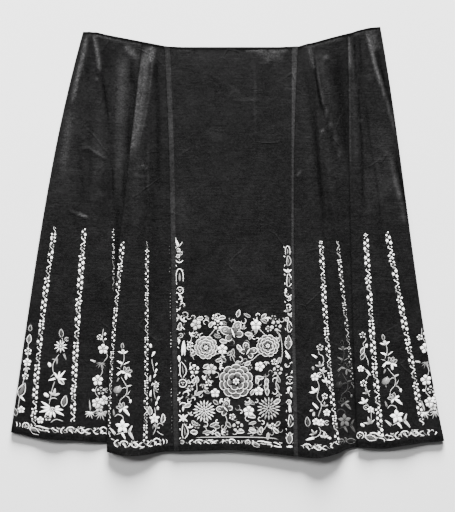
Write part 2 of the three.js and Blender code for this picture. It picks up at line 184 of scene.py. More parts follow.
# Painted highlights and painted shade along the satin's folds and creases: a path, how wide it is, and the
# share of the satin's own tone added as painted highlight, or taken off as painted shade where below 0.
SHADES = {
    "left_outer": [
        (((-340, 320), (-352, 200), (-368, 60)), 26, 0.4),
        (((-284, 330), (-287, 200), (-292, 60)), 14, 0.6),
        (((-304, 456), (-303, 400), (-313, 350)), 7, -0.5),
        (((-292, 456), (-286, 420), (-279, 366)), 4.5, 0.7),
        (((-281, 400), (-276, 366), (-267, 308), (-256, 236), (-253, 160), (-251, 60)), 3, -0.8),
        (((-268, 452), (-266, 410), (-268, 370)), 11, -0.6),
        (((-226, 430), (-232, 330), (-238, 230), (-246, 60)), 10, 1.1),
        (((-246, 430), (-248, 330), (-251, 240)), 3.5, -0.55),
        (((-218, 430), (-214, 390), (-213, 338)), 2.6, -0.9),
        (((-226, 434), (-212, 418), (-198, 402)), 2.2, 2.2),
        (((-212, 428), (-201, 412), (-192, 398)), 2.2, 1.8),
        (((-236, 398), (-226, 386), (-218, 372)), 2.2, 1.0),
        (((-234, 376), (-222, 396), (-216, 404)), 2.2, 0.9),
        (((-290, 120), (-281, 113), (-276, 99), (-280, 88)), 2.2, 0.9),
        (((-262, 300), (-256, 220), (-252, 150)), 2.2, 0.7),
        (((-330, 250), (-322, 160), (-318, 90)), 5, -0.35),
        (((-300, 300), (-300, 200), (-303, 110)), 4, -0.3),
        (((-200, 400), (-208, 330), (-217, 240), (-224, 172), (-234, 60)), 4, -0.9),
        (((-246, 170), (-243, 60), (-242, -80)), 8, -0.7),
        (((-352, 71), (-330, 64), (-308, 54)), 2.4, 2.2),
        (((-350, 64), (-328, 56), (-306, 47)), 2.6, -0.9),
        (((-326, 207), (-306, 209), (-264, 181)), 2.4, 1.4),
        (((-324, 201), (-304, 202), (-262, 174)), 2.6, -0.7),
        (((-292, 361), (-284, 357)), 2.6, 3.0),
        (((-230, 424), (-212, 406)), 3, -0.8),
        (((-338, 60), (-298, 54)), 2.2, 0.8),
    ],
    "left_inner": [
        (((-174, 444), (-182, 340), (-195, 250), (-212, 176)), 8, 1.6),
        (((-190, 396), (-198, 350), (-205, 300), (-211, 250), (-217, 196)), 2.2, 1.8),
        (((-165, 424), (-167, 380), (-173, 320), (-184, 262), (-200, 200)), 2.2, 1.3),
        (((-176, 436), (-182, 410), (-186, 388)), 2.2, 1.6),
        (((-170, 436), (-160, 412)), 2.2, 0.9),
        (((-186, 300), (-198, 172), (-202, 90), (-208, 0)), 10, 0.25),
        (((-168, 200), (-170, 60), (-172, -60)), 16, -0.25),
        (((-158, 436), (-155, 340), (-152, 240), (-154, 120)), 7, -0.7),
        (((-175, 228), (-175, 100)), 2.2, 0.6),
        (((-203, 176), (-186, 158)), 2.4, 1.2),
        (((-206, 150), (-190, 145), (-176, 148)), 2.4, 1.0),
    ],
    "panel": [
        (((-120, 410), (-40, 408), (70, 406), (140, 410)), 26, 0.4),
        (((60, 404), (60, 300), (62, 226)), 2.2, 0.8),
        (((16, 313), (78, 312)), 2.4, 1.0),
        (((-86, 398), (-20, 360), (32, 330)), 2.2, 0.6),
        (((-60, 392), (-30, 360), (4, 322)), 2.4, -0.5),
        (((0, 318), (14, 334), (30, 328)), 2.2, 0.7),
        (((-118, 402), (-88, 410), (-60, 400)), 2.4, 0.5),
        (((-52, 250), (-30, 236), (-6, 228)), 8, 0.5),
        (((-64, 132), (-30, 112), (-4, 108)), 9, 0.4),
        (((-104, 200), (-102, 60), (-98, -60)), 14, 0.3),
    ],
    "right_inner": [
        (((168, 410), (182, 310), (193, 224), (203, 140), (212, 40)), 6, -0.55),
        (((193, 432), (200, 364), (210, 312), (222, 274), (230, 250), (248, 186), (260, 140)), 2.3, 1.7),
        (((188, 428), (195, 362), (205, 308), (217, 268), (226, 240), (243, 180)), 2.6, -0.8),
        (((206, 430), (212, 380), (219, 330)), 2.4, 0.8),
        (((226, 420), (236, 360), (246, 300)), 2.4, -0.6),
        (((196, 430), (210, 372), (226, 310)), 7, 0.9),
        (((200, 300), (214, 210), (228, 110)), 9, 0.5),
        (((243, 430), (250, 330), (257, 240), (264, 170)), 8, -0.9),
        (((170, 330), (177, 200), (184, 60)), 8, 0.35),
        (((208, 246), (222, 258), (236, 256)), 2.4, 1.0),
        (((151, 146), (163, 157)), 2.2, 4.0),
    ],
    "right_outer": [
        (((268, 458), (269, 330), (270, 140)), 2.2, 1.3),
        (((276, 440), (278, 300), (284, 150)), 5, 0.8),
        (((286, 350), (292, 260), (297, 184), (296, 70)), 2.6, -0.6),
        (((304, 330), (310, 250), (317, 196), (329, 130), (340, 20)), 3, -0.6),
        (((316, 260), (326, 150), (338, 60)), 16, 0.6),
        (((303, 214), (308, 130), (311, 50)), 7, 0.5),
        (((306, 470), (324, 392), (342, 333), (357, 286), (369, 234)), 2.4, 3.4),
        (((316, 470), (334, 392), (351, 333), (365, 290)), 4, -0.9),
        (((326, 470), (323, 430), (322, 408)), 2.4, 1.6),
        (((312, 460), (318, 440), (323, 418)), 5, 1.0),
        (((278, 456), (280, 400), (284, 340)), 2.3, -0.7),
        (((290, 462), (292, 420), (296, 370)), 2.3, -0.6),
        (((356, 205), (346, 192), (336, 176)), 2.3, 1.0),
        (((292, 464), (304, 400), (318, 340)), 6, 0.4),
        (((356, 194), (370, 136), (383, 84), (391, 30)), 5, 1.8),
        (((366, 206), (380, 140), (392, 84), (400, 30)), 4, -0.9),
        (((356, 196), (344, 182), (330, 168)), 2.4, -0.9),
        (((286, 268), (300, 269)), 2.4, 1.6),
        (((342, 270), (352, 190), (360, 90)), 15, 0.7),
    ],
}
# Where it is rubbed pale in specks: a path, how wide it is, and how pale.
WORN = {
    "left_outer": [
        (((-309, 462), (-318, 410), (-328, 375), (-344, 300)), 4.5, 0.55),
        (((-344, 300), (-356, 220), (-364, 150)), 8, 0.17),
        (((-296, 458), (-288, 424), (-281, 372)), 4.5, 0.35),
        (((-318, 459), (-290, 457), (-240, 446), (-180, 435)), 3.5, 0.5),
        (((-226, 432), (-205, 412)), 7, 0.4),
        (((-236, 420), (-236, 330), (-243, 250)), 12, 0.15),
        (((-330, 64), (-306, 54)), 3, 0.5),
    ],
    "left_inner": [
        # Along the pleat's top the pale specks are partly rubbed silk and partly a painted highlight on the
        # fold.
        (((-178, 440), (-187, 340), (-198, 250), (-214, 180)), 6, 0.24),
        (((-182, 440), (-195, 340), (-206, 250), (-216, 180)), 2.2, 0.4),
        (((-166, 434), (-170, 392)), 7, 0.55),
        (((-190, 172), (-176, 159)), 3, 0.3),
    ],
    "panel": [
        (((-136, 426), (-100, 424), (-76, 423)), 3, 0.2),
        (((60, 422), (90, 415), (126, 408)), 10, 0.2),
        (((36, 422), (60, 422), (84, 422)), 2.6, 0.5),
        (((88, 421), (108, 420), (136, 423)), 3, 0.45),
        (((84, 408), (92, 396)), 8, 0.3),
    ],
    "right_inner": [
        (((178, 436), (184, 410), (190, 380)), 5, 0.3),
        (((213, 410), (221, 404)), 5, 0.5),
        (((158, 428), (200, 437), (262, 453)), 3.5, 0.3),
        (((204, 240), (212, 250)), 3, 0.5),
    ],
    "right_outer": [
        (((264, 459), (268, 420), (268, 376)), 5, 0.35),
        (((266, 454), (300, 464), (334, 469)), 3.5, 0.35),
        (((304, 470), (322, 396), (340, 336)), 3.5, 0.5),
        (((318, 466), (322, 446), (332, 420)), 7, 0.2),
        (((274, 464), (296, 468)), 3, 0.3),
        (((364, 150), (380, 92)), 3, 0.2),
    ],
}
LAYERS = {  # the stretch of each run of cloth that shows from above
    "left_outer": ("left", "side", "tuck"),
    "left_inner": ("left", "pleat", "under_panel"),
    "panel": ("panel", "left_edge", "right_edge"),
    "right_inner": ("right", "under_panel", "tuck"),
    "right_outer": ("right", "pleat", "side"),
}


def smooth(value):
    """0 to 1 with soft ends, of a value or array that is first cut to 0 and 1."""
    share = np.clip(value, 0, 1)
    return share * share * (3 - 2 * share)


def path_distance(points, path):
    """Distance in XY of each point from a path, and how far along it the nearest place is, 0 to 1."""
    path = np.array(path, float)
    lengths = np.linalg.norm(np.diff(path, axis=0), axis=1)
    starts = np.concatenate([[0], np.cumsum(lengths)])
    best = np.full(len(points), 1e9)
    along = np.zeros(len(points))
    for start, end, length, before in zip(path[:-1], path[1:], lengths, starts):
        step = end - start
        share = np.clip(((points - start) @ step) / length**2, 0, 1)
        gap = np.linalg.norm(points - (start + share[:, None] * step), axis=1)
        nearer = gap < best
        best[nearer] = gap[nearer]
        along[nearer] = (before + share[nearer] * length) / starts[-1]
    return best, along


class Cloth:
    """A run of cloth through fold lines. A place counts its control points, and t runs from waist to hem."""

    def __init__(self, name, lines):
        self.name = name
        self.places = {}
        shapes, ends, turns, self.arcs = [], [], [], set()
        for line in lines:
            self.places[line["name"]] = len(shapes)
            self.places[line["name"] + "_edge"] = len(shapes) + ARC_STEPS // 2
            radius = line.get("fold", (0, 0, 0, 0))
            shape = [np.polyfit(STATIONS, values, 3) for values in (line["x"], line["z"], radius)]
            steps = ARC_STEPS + 1 if "fold" in line else 1
            side = -1 if line.get("faces") == "left" else 1
            for step in range(steps):
                angle = -math.pi / 2 + math.pi * step / ARC_STEPS
                if step < steps - 1:
                    self.arcs.add(len(shapes))
                shapes.append(shape)
                ends.append(line["y"])
                turns.append((side * (math.cos(angle) - 1), line.get("climbs", 1) * math.sin(angle)))
        self.shapes = np.array(shapes)
        self.ends = np.array(ends, float)
        self.turns = np.array(turns)
        self.last = len(shapes) - 1

    def control(self, index, t):
        powers = np.stack([t**3, t**2, t, np.ones_like(t)], -1)
        x, z, radius = np.einsum("nqk,nk->qn", self.shapes[index], powers)
        y = self.ends[index, 0] * (1 - t) + self.ends[index, 1] * t
        turn = self.turns[index]
        return np.stack([x + turn[:, 0] * radius, y, z + turn[:, 1] * radius], -1)

    def smooth_points(self, place, t):
        """The centripetal curve through the control points."""
        place = np.clip(place, 0, self.last)
        low = np.minimum(place.astype(int), self.last - 1)
        share = (place - low)[:, None]
        p1, p2 = self.control(low, t), self.control(low + 1, t)
        p0 = np.where((low > 0)[:, None], self.control(np.maximum(low - 1, 0), t), 2 * p1 - p2)
        after = np.minimum(low + 2, self.last)
        p3 = np.where((low + 2 <= self.last)[:, None], self.control(after, t), 2 * p2 - p1)

        def knot(a, b):
            return np.maximum(np.linalg.norm(b - a, axis=1, keepdims=True), 1e-6) ** 0.5

        d0, d1, d2 = knot(p0, p1), knot(p1, p2), knot(p2, p3)
        m1 = ((p1 - p0) / d0 - (p2 - p0) / (d0 + d1) + (p2 - p1) / d1) * d1
        m2 = ((p2 - p1) / d1 - (p3 - p1) / (d1 + d2) + (p3 - p2) / d2) * d1
        points = (
            p1
            + m1 * share
            + (3 * (p2 - p1) - 2 * m1 - m2) * share**2
            + (2 * (p1 - p2) + m1 + m2) * share**3
        )
        points[:, 2] = np.maximum(points[:, 2], BACK_Z)
        return points

    def strokes(self, table, place, t, points):
        """What a table of strokes adds up to at each point."""
        total = np.zeros(len(points))
        for layer, (cloth, start, end) in LAYERS.items():
            if cloth != self.name:
                continue
            low, high = self.span(start, end)
            on = (place >= low) & (place <= high)
            if not on.any():
                continue
            inside = np.minimum(smooth((place[on] - low) * 2), smooth((high - place[on]) * 2))
            for path, width, height in table[layer]:
                gap, along = path_distance(points[on, :2], path)
                ends = np.minimum(along, 1 - along) * STROKE_ENDS + 0.02
                total[on] += height * np.exp(-((gap / width) ** 2)) * smooth(ends) * inside
        return total

    def span(self, start, end):
        """The places of a layer: from the middle of a fold that it starts or ends at."""
        low, high = self.places[start], self.places[end]
        low += ARC_STEPS / 2 if low in self.arcs else 0
        high += ARC_STEPS / 2 if high in self.arcs else 0
        return low, high

    def points(self, place, t):
        """Points of the creased cloth and its outward directions, both as rows."""
        place = np.asarray(place, float)
        t = np.asarray(t, float)
        step, drop = 0.03, 0.004  # how far to each side the cloth's slope is measured
        base = self.smooth_points(place, t)
        along = self.smooth_points(place + step, t) - self.smooth_points(place - step, t)
        low, high = np.minimum(t + drop, 1), np.maximum(t - drop, 0)
        down = self.smooth_points(place, low) - self.smooth_points(place, high)
        normal = np.cross(down, along)
        normal /= np.linalg.norm(normal, axis=1, keepdims=True)
        return base + normal * self.strokes(CREASES, place, t, base)[:, None], normal


CLOTHS = {
    "left": Cloth("left", LEFT_LINES),
    "panel": Cloth("panel", PANEL_LINES),
    "right": Cloth("right", RIGHT_LINES),
}


class Layer:
    """The visible top of a run of cloth, for laying things on it at a place seen from above."""

    X_STEP = 1.0
    ROWS = 160
    PLACE_STEPS = 16  # samples between two lines
    LENGTH = 900  # about the cloth's length from waist to hem
    ROUNDS = 6

    def __init__(self, name):
        cloth, start, end = LAYERS[name]
        self.cloth = CLOTHS[cloth]
        low, high = self.cloth.span(start, end)
        places = np.linspace(low, high, int((high - low) * self.PLACE_STEPS))
        self.ts = np.linspace(0, 1, self.ROWS)
        rows = [self.cloth.smooth_points(places, np.full(len(places), t)) for t in self.ts]
        self.x_low = min(row[:, 0].min() for row in rows)
        xs = np.arange(self.x_low, max(row[:, 0].max() for row in rows) + self.X_STEP, self.X_STEP)
        self.limits = np.array([(row[:, 0].min(), row[:, 0].max()) for row in rows])
        self.place_at, self.y_at = [], []
        for row in rows:
            x = np.maximum.accumulate(row[:, 0])
            self.place_at.append(np.interp(xs, x, places))
            self.y_at.append(np.interp(xs, x, row[:, 1]))
        self.place_at = np.array(self.place_at)
        self.y_at = np.array(self.y_at)

    def table(self, values, x, t):
        """Bilinear value of a table over t and x."""
        column = np.clip((x - self.x_low) / self.X_STEP, 0, values.shape[1] - 1.001)
        row = np.clip(t * (self.ROWS - 1), 0, self.ROWS - 1.001)
        c, r = column.astype(int), row.astype(int)
        u, v = column - c, row - r
        top = values[r, c] * (1 - u) + values[r, c + 1] * u
        bottom = values[r + 1, c] * (1 - u) + values[r + 1, c + 1] * u
        return top * (1 - v) + bottom * v

    def find(self, xy):
        """Place and t of the points that lie under xy, and whether each is on this layer."""
        x, y = xy[:, 0], xy[:, 1]
        t = np.full(len(xy), 0.5)
        for _ in range(self.ROUNDS):
            t = np.clip(t + (self.table(self.y_at, x, t) - y) / self.LENGTH, 0, 1)
        low = np.interp(t, self.ts, self.limits[:, 0])
        high = np.interp(t, self.ts, self.limits[:, 1])
        return self.table(self.place_at, x, t), t, (x > low - 0.5) & (x < high + 0.5)

    def lay(self, xy, height):
        """Points on the cloth's outer face under xy, moved out by height."""
        place, t, on = self.find(xy)
        points, normal = self.cloth.points(place, t)
        return points + normal * (CLOTH / 2 + height)[:, None], on


# Materials

RIB_PITCH = 0.0022
WORN_TONE = 0.05  # how light fully worn satin is
LEAST_TONE = 0.05  # the share of its own tone that satin keeps under the deepest painted shade of a fold
STITCH_PITCH = 0.16  # of stitch lines, as a share of a shape's half width


class Socket:
    """A shader socket that Python expressions work on."""

    def __init__(self, tree, socket):
        self.tree = tree
        self.socket = socket

    def node(self, kind, settings=None, inputs=None, output=0):
        """Adds a node. Settings are set first, then its inputs are given values or linked."""
        made = self.tree.nodes.new(kind)
        for key, value in (settings or {}).items():
            setattr(made, key, value)
        for key, value in (inputs or {}).items():
            if isinstance(value, Socket):
                self.tree.links.new(value.socket, made.inputs[key])
            else:
                made.inputs[key].default_value = value
        return Socket(self.tree, made.outputs[output])

    def math(self, operation, other=0.0):
        return self.node("ShaderNodeMath", {"operation": operation}, {0: self, 1: other})

    def __add__(self, other):
        return self.math("ADD", other)

    __radd__ = __add__

    def __sub__(self, other):
        return self.math("SUBTRACT", other)

    def __rsub__(self, other):
        return self.node("ShaderNodeMath", {"operation": "SUBTRACT"}, {0: other, 1: self})

    def __mul__(self, other):
        return self.math("MULTIPLY", other)

    __rmul__ = __mul__

    def noise(self, scale, detail, roughness):
        """Noise over this vector, around 0.5."""
        sizes = {"Vector": self, "Scale": scale, "Detail": detail, "Roughness": roughness}
        return self.node("ShaderNodeTexNoise", None, sizes, "Fac")

    def wander(self, scale, reach):
        """A vector that drifts slowly with place."""
        drift = self.node("ShaderNodeTexNoise", None, {"Vector": self, "Scale": scale}, "Color")
        return self.node("ShaderNodeVectorMath", {"operation": "SCALE"}, {0: drift, "Scale": reach})

    def stretched(self, scale):
        return self.node("ShaderNodeMapping", None, {"Vector": self, "Scale": scale})

    def sine(self, pitch):
        """Waves of this pitch along a coordinate, from -1 to 1."""
        return (self * (2 * math.pi / pitch)).math("SINE")

    def attribute(self, name):
        return self.node("ShaderNodeAttribute", {"attribute_name": name}, None, "Fac")

    def part(self, axis):
        return self.node("ShaderNodeSeparateXYZ", None, {0: self}, axis)

    def between(self, low, high):
        """Grey from low to high as this goes from 0 to 1."""
        return self * (high - low) + low

    def cut(self, low, high):
        """0 to 1 as this goes from low to high, with soft ends."""
        sizes = {"Value": self, "From Min": low, "From Max": high}
        return self.node("ShaderNodeMapRange", {"interpolation_type": "SMOOTHSTEP"}, sizes)

    def grey(self, tint=(1, 1, 1)):
        """This value as a colour."""
        channels = {name: self * share for name, share in zip(("Red", "Green", "Blue"), tint)}
        return self.node("ShaderNodeCombineColor", None, channels)


def new_material(name, fixed):
    """A material whose shader has these fixed values, and a coordinate socket to start from."""
    material = bpy.data.materials.new(name)
    material.use_nodes = True
    tree = material.node_tree
    shader = tree.nodes["Principled BSDF"]
    for key, value in fixed.items():
        shader.inputs[key].default_value = value
    coordinates = tree.nodes.new("ShaderNodeTexCoord")
    return material, shader, Socket(tree, coordinates.outputs["Object"])


def link(shader, color, roughness, bump=None, strength=None, depth=None):
    """Wires what changes over the surface to a shader. Only a bump has a strength and a depth."""
    tree = shader.id_data
    tree.links.new(color.socket, shader.inputs["Base Color"])
    tree.links.new(roughness.socket, shader.inputs["Roughness"])
    if bump is not None:
        sizes = {"Height": bump, "Strength": strength, "Distance": depth}
        normal = bump.node("ShaderNodeBump", None, sizes)
        tree.links.new(normal.socket, shader.inputs["Normal"])


def satin_material(name, level, gloss):
    """Silk satin: crosswise threads, crumpled patches, worn places, and painted light and shade on its folds.
    """
    material, shader, at = new_material(name, {"Specular IOR Level": gloss})
    broad = at.noise(9, 3, 0.55)
    patches = at.noise(42, 5, 0.65)
    threads = at.stretched((0.035, 1, 1)).noise(620, 2, 0.5)
    ribs = at.part("Y").sine(RIB_PITCH) * 0.5 + 0.5
    crumple = at.noise(95, 6, 0.7)
    pressed = at.stretched((1, 0.12, 1)).noise(110, 3, 0.5)
    bent = at.node("ShaderNodeVectorMath", {"operation": "ADD"}, {0: at, 1: at.wander(7, 0.05)})
    sizes = {"Vector": bent, "Scale": 11.0}
    cells = bent.node("ShaderNodeTexVoronoi", {"feature": "DISTANCE_TO_EDGE"}, sizes, "Distance")
    wrinkle = cells.cut(0.035, 0.0) * at.noise(15, 2, 0.5).cut(0.5, 0.66)
    speckle = at.noise(270, 5, 0.8).cut(0.42, 0.66)
    flecks = at.noise(190, 4, 0.7)
    worn = at.attribute("worn") * speckle.between(0.35, 1.5)
    weave = broad.between(0.4, 1.6) * patches.between(0.1, 1.9)
    weave = weave * threads.between(0.2, 1.8) * flecks.between(0, 2)
    # Painted light and shade: the folds' painted highlights and shade, and a lighter tone along the wrinkles
    # that is partly rubbed silk and partly a painted highlight on their ridges.
    tone = (at.attribute("shade") + wrinkle * 0.35 + 1.0).math("MAXIMUM", LEAST_TONE)
    color = level * weave * tone + worn * WORN_TONE + speckle * level * 0.9
    roughness = patches.between(0.32, 0.54) + threads.between(-0.05, 0.05)
    height = crumple * 1.1 + pressed * 0.4 + threads * 0.2 + ribs * 0.06 + wrinkle * 0.4
    link(shader, color.grey((1.0, 0.99, 1.0)), roughness, height, 0.8, 0.0015)
    return material


def silk_material():
    """Satin stitch: pale silk whose tone comes from the shape, with fine stitch lines."""
    material, shader, at = new_material("embroidery_silk", {"Specular IOR Level": 0.18})
    stitch = at.node("ShaderNodeUVMap", {"uv_map": "stitch"})
    lines = stitch.part("X").sine(STITCH_PITCH) * 0.5 + 0.5
    fray = at.noise(2600, 2, 0.5)
    color = at.attribute("tone") * lines.between(0.96, 1.0) * fray.between(0.95, 1.07)
    link(shader, color.grey((1.0, 0.99, 0.97)), fray.between(0.38, 0.55), lines + fray * 0.4, 0.4, 0.0003)
    return material


SATIN = satin_material("black_satin", 0.0036, 0.08)
STRIP_SATIN = satin_material("strip_satin", 0.0071, 0.1)
SILK = silk_material()


# Cloth pieces

CLOTH_ROWS = 260
CLOTH_SPACING = 2.6
SPACED_AT = 0.8  # how far down the cloth its spacing is measured
FOLD_DETAIL = 3.0  # how much closer together places are in a fold
STRIP_GRID = (8, 190)
STRIP_LENGTH = 890
STRIP_REST = 0.35  # how far a strip's sides stand above the panel
STRIP_CROWN = 1.0  # and its middle above its sides
STRIP_SHELL = 0.3
LONG_EDGE = 20  # an edge of the back that is longer is cut in four
BACK_SIDES = 0.5  # what lies higher on the back takes part in its creases
BACK_SINK = 0.25  # how far the back's creases lie under its solid's face
BACK_WAVE = 0.2


def new_piece(name, mesh_or_bmesh, material):
    """A finished object at the origin that rides on the skirt."""
    if isinstance(mesh_or_bmesh, bmesh.types.BMesh):
        mesh = bpy.data.meshes.new(name)
        mesh_or_bmesh.to_mesh(mesh)
        mesh_or_bmesh.free()
    else:
        mesh = mesh_or_bmesh
    mesh.shade_smooth()
    mesh.materials.append(material)
    piece = bpy.data.objects.new(name, mesh)
    bpy.context.scene.collection.objects.link(piece)
    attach(piece, "root")
    return piece


def set_tones(mesh, tones):
    for name, values in tones.items():
        mesh.attributes.new(name, "FLOAT", "POINT").data.foreach_set("value", values)


def grid(columns, rows):
    """A grid of vertices, with each vertex's share across and down, as a bmesh and two arrays."""
    bm = bmesh.new()
    bmesh.ops.create_grid(bm, x_segments=columns, y_segments=rows, size=0.5)
    shares = np.array([vertex.co[:2] for vertex in bm.verts]) + 0.5
    return bm, shares[:, 0], 1 - shares[:, 1]


def place_vertices(bm, points):
    for vertex, point in zip(bm.verts, points * MM):
        vertex.co = point


def add_shell(piece, thickness):
    """Gives a sheet its thickness inwards, with crisp edges."""
    bm = bmesh.new()
    bm.from_mesh(piece.data)
    for edge in bm.edges:
        edge.smooth = not edge.is_boundary
    bm.to_mesh(piece.data)
    bm.free()
    solid = piece.modifiers.new("thickness", "SOLIDIFY")
    solid.thickness = thickness * MM
    solid.offset = -1
    solid.use_even_offset = False


def turning(t, length):
    """The extra thickness of the turned cloth along the waist and hem."""
    hem = smooth((t - (1 - HEM_TURNING / length)) * length / 1.5 + 0.5)
    waist = smooth((WAIST_TURNING / length - t) * length / 1.5 + 0.5)
    return TURNING_EXTRA * np.maximum(hem, waist)


def edge_shade(t, length):
    """Painted shade on the turned edges: a thin dark line at the waist, and the strip along the hem."""
    hem = smooth((t - (1 - HEM_TURNING / length)) * length / 4)
    return -WAIST_SHADE * (t * length < WAIST_LINE) - HEM_SHADE * hem


def even_places(cloth, start, end):
    """Places from one line to another, about evenly spaced along the cloth, closer together in folds."""
    fine = np.linspace(start, end, int((end - start) * 40) + 1)
    points = cloth.smooth_points(fine, np.full(len(fine), SPACED_AT))
    run = np.concatenate([[0], np.cumsum(np.linalg.norm(np.diff(points, axis=0), axis=1))])
    in_arc = np.array([int(place) in cloth.arcs for place in fine])
    weight = np.concatenate([[0], np.cumsum(np.where(in_arc[1:], FOLD_DETAIL, 1.0) * np.diff(run))])
    count = max(6, round(weight[-1] / CLOTH_SPACING))
    return np.interp(np.linspace(0, weight[-1], count + 1), weight, fine)


def cloth_width(cloth, start, end, t):
    fine = np.linspace(start, end, int((end - start) * 20) + 1)
    points = cloth.smooth_points(fine, np.full(len(fine), t))
    return np.linalg.norm(np.diff(points, axis=0), axis=1).sum()


def cloth_piece(name, cloth_name, start, end):
    """One cut piece of the front, as a creased shell where its solid is."""
    cloth = CLOTHS[cloth_name]
    first, last = cloth.places[start], cloth.places[end]
    places = even_places(cloth, first, last)
    bm, across, t = grid(len(places) - 1, CLOTH_ROWS)
    place = np.interp(across, np.linspace(0, 1, len(places)), places)
    points, normal = cloth.points(place, t)
    waist, hem = cloth.smooth_points(np.full(2, float(first)), np.array([0.0, 1.0]))
    length = np.linalg.norm(hem - waist)
    # Worn specks, and the painted highlights and painted shade of the folds and the turned edges.
    tones = {
        "worn": cloth.strokes(WORN, place, t, points) * (t * length > WAIST_LINE),
        "shade": cloth.strokes(SHADES, place, t, points) + edge_shade(t, length),
    }
    points += normal * (CLOTH / 2 + turning(t, length) * np.clip(normal[:, 2], 0, 1))[:, None]
    place_vertices(bm, points)
    bmesh.ops.recalc_face_normals(bm, faces=bm.faces)
    flip_to(bm, normal)
    piece = new_piece(name + "_cloth", bm, SATIN)
    set_tones(piece.data, tones)
    add_shell(piece, SHELL)
    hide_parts(name)
    widths = [cloth_width(cloth, first, last, share) for share in (0, 0.25, 0.5, 0.75, 1)]


def flip_to(bm, normals):
    """Turns all faces over if they point against the cloth's outward directions."""
    bm.verts.ensure_lookup_table()
    bm.normal_update()
    middle = bm.verts[len(bm.verts) // 2]
    if middle.normal.dot(Vector(normals[middle.index])) < 0:
        bmesh.ops.reverse_faces(bm, faces=bm.faces)


FRONT_PIECES = [
    ("back_left_gore_5", "left", "back_seam", "side_edge"),
    ("left_side_gore", "left", "side_edge", "seam_1"),
    ("front_left_gore_5", "left", "seam_1", "seam_2"),
    ("front_left_gore_4", "left", "seam_2", "seam_3"),
    ("front_left_gore_3", "left", "seam_3", "seam_4"),
    ("front_left_gore_2", "left", "seam_4", "seam_5"),
    ("front_left_gore_1", "left", "seam_5", "under_panel"),
    ("front_panel", "panel", "left_edge", "right_edge"),
    ("front_right_gore_1", "right", "under_panel", "seam_1"),
    ("front_right_gore_2", "right", "seam_1", "seam_2"),
    ("front_right_gore_3", "right", "seam_2", "seam_3"),
    ("front_right_gore_4", "right", "seam_3", "seam_4"),
    ("right_side_gore", "right", "seam_4", "side_edge"),
    ("back_right_gore_5", "right", "side_edge", "back_seam"),
]
STRIPS = [  # node, the panel's edge, the side it faces, its width at the four stations, and its shade
    ("front_left_strip", "left_edge", -1, (11.5, 11, 10.5, 11), 0.1),
    ("front_right_strip", "right_edge", 1, (13.5, 5.5, 7, 9), 0.45),
]


def strip_piece(name, edge, side, widths, shade):
    """A strip along one edge of the front panel, with rounded sides like piping."""
    panel = CLOTHS["panel"]
    edge_place = panel.places[edge]
    bm, across, t = grid(*STRIP_GRID)
    width = np.polyval(np.polyfit(STATIONS, widths, 3), t)
    start = panel.smooth_points(np.full(len(t), float(edge_place)), t)
    neighbour = panel.smooth_points(np.full(len(t), float(edge_place - side)), t)
    reach = width / np.abs(neighbour[:, 0] - start[:, 0])
    share = across if side < 0 else 1 - across
    points, normal = panel.points(edge_place - side * reach * share, t)
    crown = np.sqrt(np.clip(1 - (2 * across - 1) ** 2, 0, 1))
    lift = CLOTH / 2 + turning(t, STRIP_LENGTH) + STRIP_REST + STRIP_CROWN * crown
    place_vertices(bm, points + normal * lift[:, None])
    flip_to(bm, normal)
    piece = new_piece(name + "_cloth", bm, STRIP_SATIN)
    # The strip's shade, with painted shade along its turned edges.
    set_tones(piece.data, {"shade": shade + edge_shade(t, STRIP_LENGTH)})
    add_shell(piece, STRIP_SHELL)
    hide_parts(name)


def back_piece(name):
    """A flat piece of the back, on the box of its solid, with soft creases on its inner face."""
    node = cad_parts[name]
    bm = bmesh.new()
    bm.from_mesh(node.data)
    bmesh.ops.remove_doubles(bm, verts=bm.verts, dist=1e-6)
    bmesh.ops.subdivide_edges(
        bm,
        edges=[edge for edge in bm.edges if edge.calc_length() > LONG_EDGE * MM],
        cuts=3,
        use_grid_fill=True,
    )
    for vertex in bm.verts:
        if vertex.co.z > BACK_SIDES * MM:
            wave = math.sin(vertex.co.x * 61 + vertex.co.y * 7) * math.sin(vertex.co.y * 13 + 1)
            vertex.co.z -= (BACK_SINK + BACK_WAVE * wave) * MM
    piece = new_piece(name + "_cloth", bm, SATIN)
    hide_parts(name)


for row in FRONT_PIECES:
    cloth_piece(*row)
for row in STRIPS:
    strip_piece(*row)
turned_up = {row[0] for row in FRONT_PIECES}
for node_name in sorted(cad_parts):
    if node_name.startswith("back_") and node_name not in turned_up:
        back_piece(node_name)

# Embroidery: the shapes that stitches fill

BRIGHT, PALE, GREY, DIM = 0.97, 0.48, 0.18, 0.07  # how light the silk is
SHADED_RIM_TONE = 0.3  # the share of its tone that a shape keeps at its rim, as painted shade where it meets the cloth
PAD_HEIGHT = 0.45
PAD_SINK = 0.15  # how far a shape's underside lies in the cloth
PLY = 0.3  # how far one shape stands above another that it overlaps
LINE_WIDTH = 2.1
LINE_STEP = 2.4
LINE_END = 0.45  # the share of its width that a line has at its ends
RIM_WIDTH = 1.9
CURVE_POINTS = 9  # what rings, curls and the paths of seams are drawn through
TONE_SPREAD = (0.92, 1.15)  # how much shapes of one tone differ
RNG = np.random.default_rng(30)


